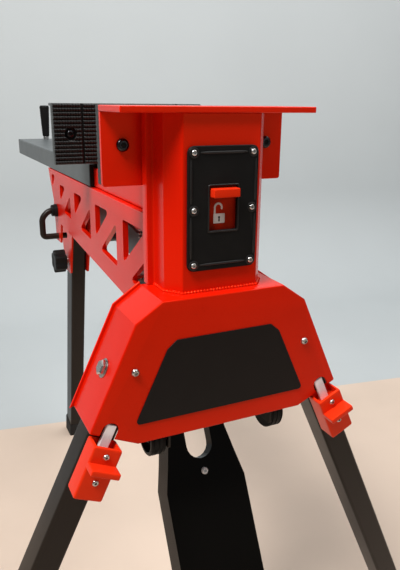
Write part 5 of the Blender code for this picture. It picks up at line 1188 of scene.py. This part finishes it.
class WORKBENCH_OT_stage(bpy.types.Operator):
    """Set the floor, the paper sheet, the lights and the camera"""

    bl_idname = "workbench.stage"
    bl_label = "Stage"

    def execute(self, context):
        """A plain floor and a paper sheet in soft light from above, seen as in the photograph."""
        sizes = sizes_of(context)
        self.floor()
        self.sheet()
        self.light("key", KEY_PLACE, KEY_AIM, KEY_SIZE, sizes.key_power, KEY_COLOUR)
        self.light("fill", FILL_PLACE, FILL_AIM, FILL_SIZE, sizes.fill_power, FILL_COLOUR)
        self.light("overhead", OVERHEAD_PLACE, OVERHEAD_AIM, OVERHEAD_SIZE, sizes.top_power, OVERHEAD_COLOUR)
        world = bpy.data.worlds.new("studio")
        world.use_nodes = True
        sky = world.node_tree.nodes["Background"]
        sky.inputs["Color"].default_value = SKY_COLOUR
        sky.inputs["Strength"].default_value = SKY_STRENGTH
        context.scene.world = world
        context.scene.view_settings.view_transform = "Standard"
        self.camera(context)
        return {"FINISHED"}

    def floor(self):
        """A wide flat floor."""
        half = FLOOR_HALF
        material = ground("stage floor", FLOOR_COLOUR, scale=2.5, roughness=0.7)
        corners = [(-half, -half, 0), (half, -half, 0), (half, half, 0), (-half, half, 0)]
        self.surface("floor", corners, [(0, 1, 2, 3)], material)

    def sheet(self):
        """Paper behind the bench: flat, then a quarter turn c + r (sin a, 1 - cos a), then upright."""
        away = np.array(SHEET_AWAY)
        along = np.array((-away[1], away[0]))
        turn = np.linspace(0.0, np.pi / 2, SHEET_STEPS)
        run = np.concatenate(([0.0], SHEET_FLAT + SHEET_BEND * np.sin(turn), [SHEET_FLAT + SHEET_BEND]))
        bend = SHEET_LIFT + SHEET_BEND * (1.0 - np.cos(turn))
        rise = np.concatenate(([SHEET_LIFT], bend, [SHEET_TOP]))
        line = np.array(SHEET_START) + away * run[:, None]
        edges = (line + along * SHEET_REACH, line - along * SHEET_REACH)
        points = np.concatenate([np.column_stack((edge, rise)) for edge in edges])
        count = len(run)
        faces = [(step, count + step, count + step + 1, step + 1) for step in range(count - 1)]
        paper = ground("stage sheet", SHEET_COLOUR, scale=0.6, roughness=0.9)
        self.clear_behind(paper.node_tree)
        sheet = self.surface("sheet", points.tolist(), faces, paper)
        sheet.data.shade_smooth()

    def clear_behind(self, tree):
        """Let the bench be seen through a surface from its back."""
        clear = tree.nodes.new("ShaderNodeBsdfTransparent")
        either = tree.nodes.new("ShaderNodeMixShader")
        back = tree.nodes.new("ShaderNodeNewGeometry")
        tree.links.new(back.outputs["Backfacing"], either.inputs[0])
        tree.links.new(tree.nodes["Principled BSDF"].outputs["BSDF"], either.inputs[1])
        tree.links.new(clear.outputs["BSDF"], either.inputs[2])
        tree.links.new(either.outputs["Shader"], tree.nodes["Material Output"].inputs["Surface"])

    def surface(self, name, corners, faces, material):
        """One surface of the stage."""
        mesh = bpy.data.meshes.new(name)
        mesh.from_pydata(corners, [], faces)
        mesh.materials.append(material)
        flat = bpy.data.objects.new(name, mesh)
        bpy.context.scene.collection.objects.link(flat)
        return flat

    def light(self, name, place, target, size, power, colour):
        """A square area light aimed at a point."""
        lamp = bpy.data.lights.new(name, "AREA")
        lamp.size = size
        lamp.energy = power
        lamp.color = colour
        stand = bpy.data.objects.new(name, lamp)
        bpy.context.scene.collection.objects.link(stand)
        stand.location = place
        stand.rotation_euler = (Vector(place) - Vector(target)).to_track_quat("Z", "Y").to_euler()

    def camera(self, context):
        """The photograph's own view, from a fit of the panel, the housing and the chassis."""
        lens = bpy.data.cameras.new("photo view")
        lens.sensor_width = CAMERA_SENSOR_MM
        lens.lens = CAMERA_LENS_MM
        view = bpy.data.objects.new("photo view", lens)
        context.scene.collection.objects.link(view)
        forward = Vector(CAMERA_FORWARD).normalized()
        right = Vector(CAMERA_RIGHT).normalized()
        up = right.cross(forward)
        across = right * math.cos(CAMERA_ROLL) + up * math.sin(CAMERA_ROLL)
        above = across.cross(forward)
        turn = Matrix((across, above, -forward)).transposed().to_4x4()
        view.matrix_world = Matrix.Translation((CAMERA_X, CAMERA_Y + FRONT_Y, CAMERA_Z)) @ turn
        context.scene.camera = view


class WORKBENCH_PT_panel(bpy.types.Panel):
    """Lists the workbench's settings and pieces."""

    bl_idname = "WORKBENCH_PT_panel"
    bl_label = "Folding Clamping Workbench"
    bl_space_type = "VIEW_3D"
    bl_region_type = "UI"
    bl_category = "Workbench"

    def draw(self, context):
        """Settings first, then one button for each piece."""
        layout = self.layout
        for group in (colours_of(context), sizes_of(context)):
            box = layout.box()
            for name in group.bl_rna.properties.keys():
                if name not in ("rna_type", "name"):
                    box.prop(group, name)
        for operator in PIECES:
            layout.operator(operator.bl_idname)


PIECES = (
    WORKBENCH_OT_finishes,
    WORKBENCH_OT_column,
    WORKBENCH_OT_switch,
    WORKBENCH_OT_housing,
    WORKBENCH_OT_front_legs,
    WORKBENCH_OT_chassis,
    WORKBENCH_OT_beam,
    WORKBENCH_OT_rear_leg,
    WORKBENCH_OT_pedal,
    WORKBENCH_OT_stage,
)
CLASSES = (WORKBENCH_PG_colours, WORKBENCH_PG_sizes, *PIECES, WORKBENCH_PT_panel)


def register():
    """Add the settings, the operators and the panel."""
    for item in CLASSES:
        bpy.utils.register_class(item)
    bpy.types.Scene.workbench_colours = bpy.props.PointerProperty(type=WORKBENCH_PG_colours)
    bpy.types.Scene.workbench_sizes = bpy.props.PointerProperty(type=WORKBENCH_PG_sizes)


def unregister():
    """Take them away again."""
    del bpy.types.Scene.workbench_sizes
    del bpy.types.Scene.workbench_colours
    for item in reversed(CLASSES):
        bpy.utils.unregister_class(item)


def main():
    """Dress every piece and set the stage."""
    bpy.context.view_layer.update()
    register()
    for name in ("Cube", "Light", "Camera"):
        if name in bpy.data.objects:
            bpy.data.objects.remove(bpy.data.objects[name], do_unlink=True)
    bpy.ops.workbench.finishes()
    bpy.ops.workbench.column()
    bpy.ops.workbench.switch()
    bpy.ops.workbench.housing()
    bpy.ops.workbench.front_legs()
    bpy.ops.workbench.chassis()
    bpy.ops.workbench.beam()
    bpy.ops.workbench.rear_leg()
    bpy.ops.workbench.pedal()
    bpy.ops.workbench.stage()


if __name__ == "__main__":
    main()
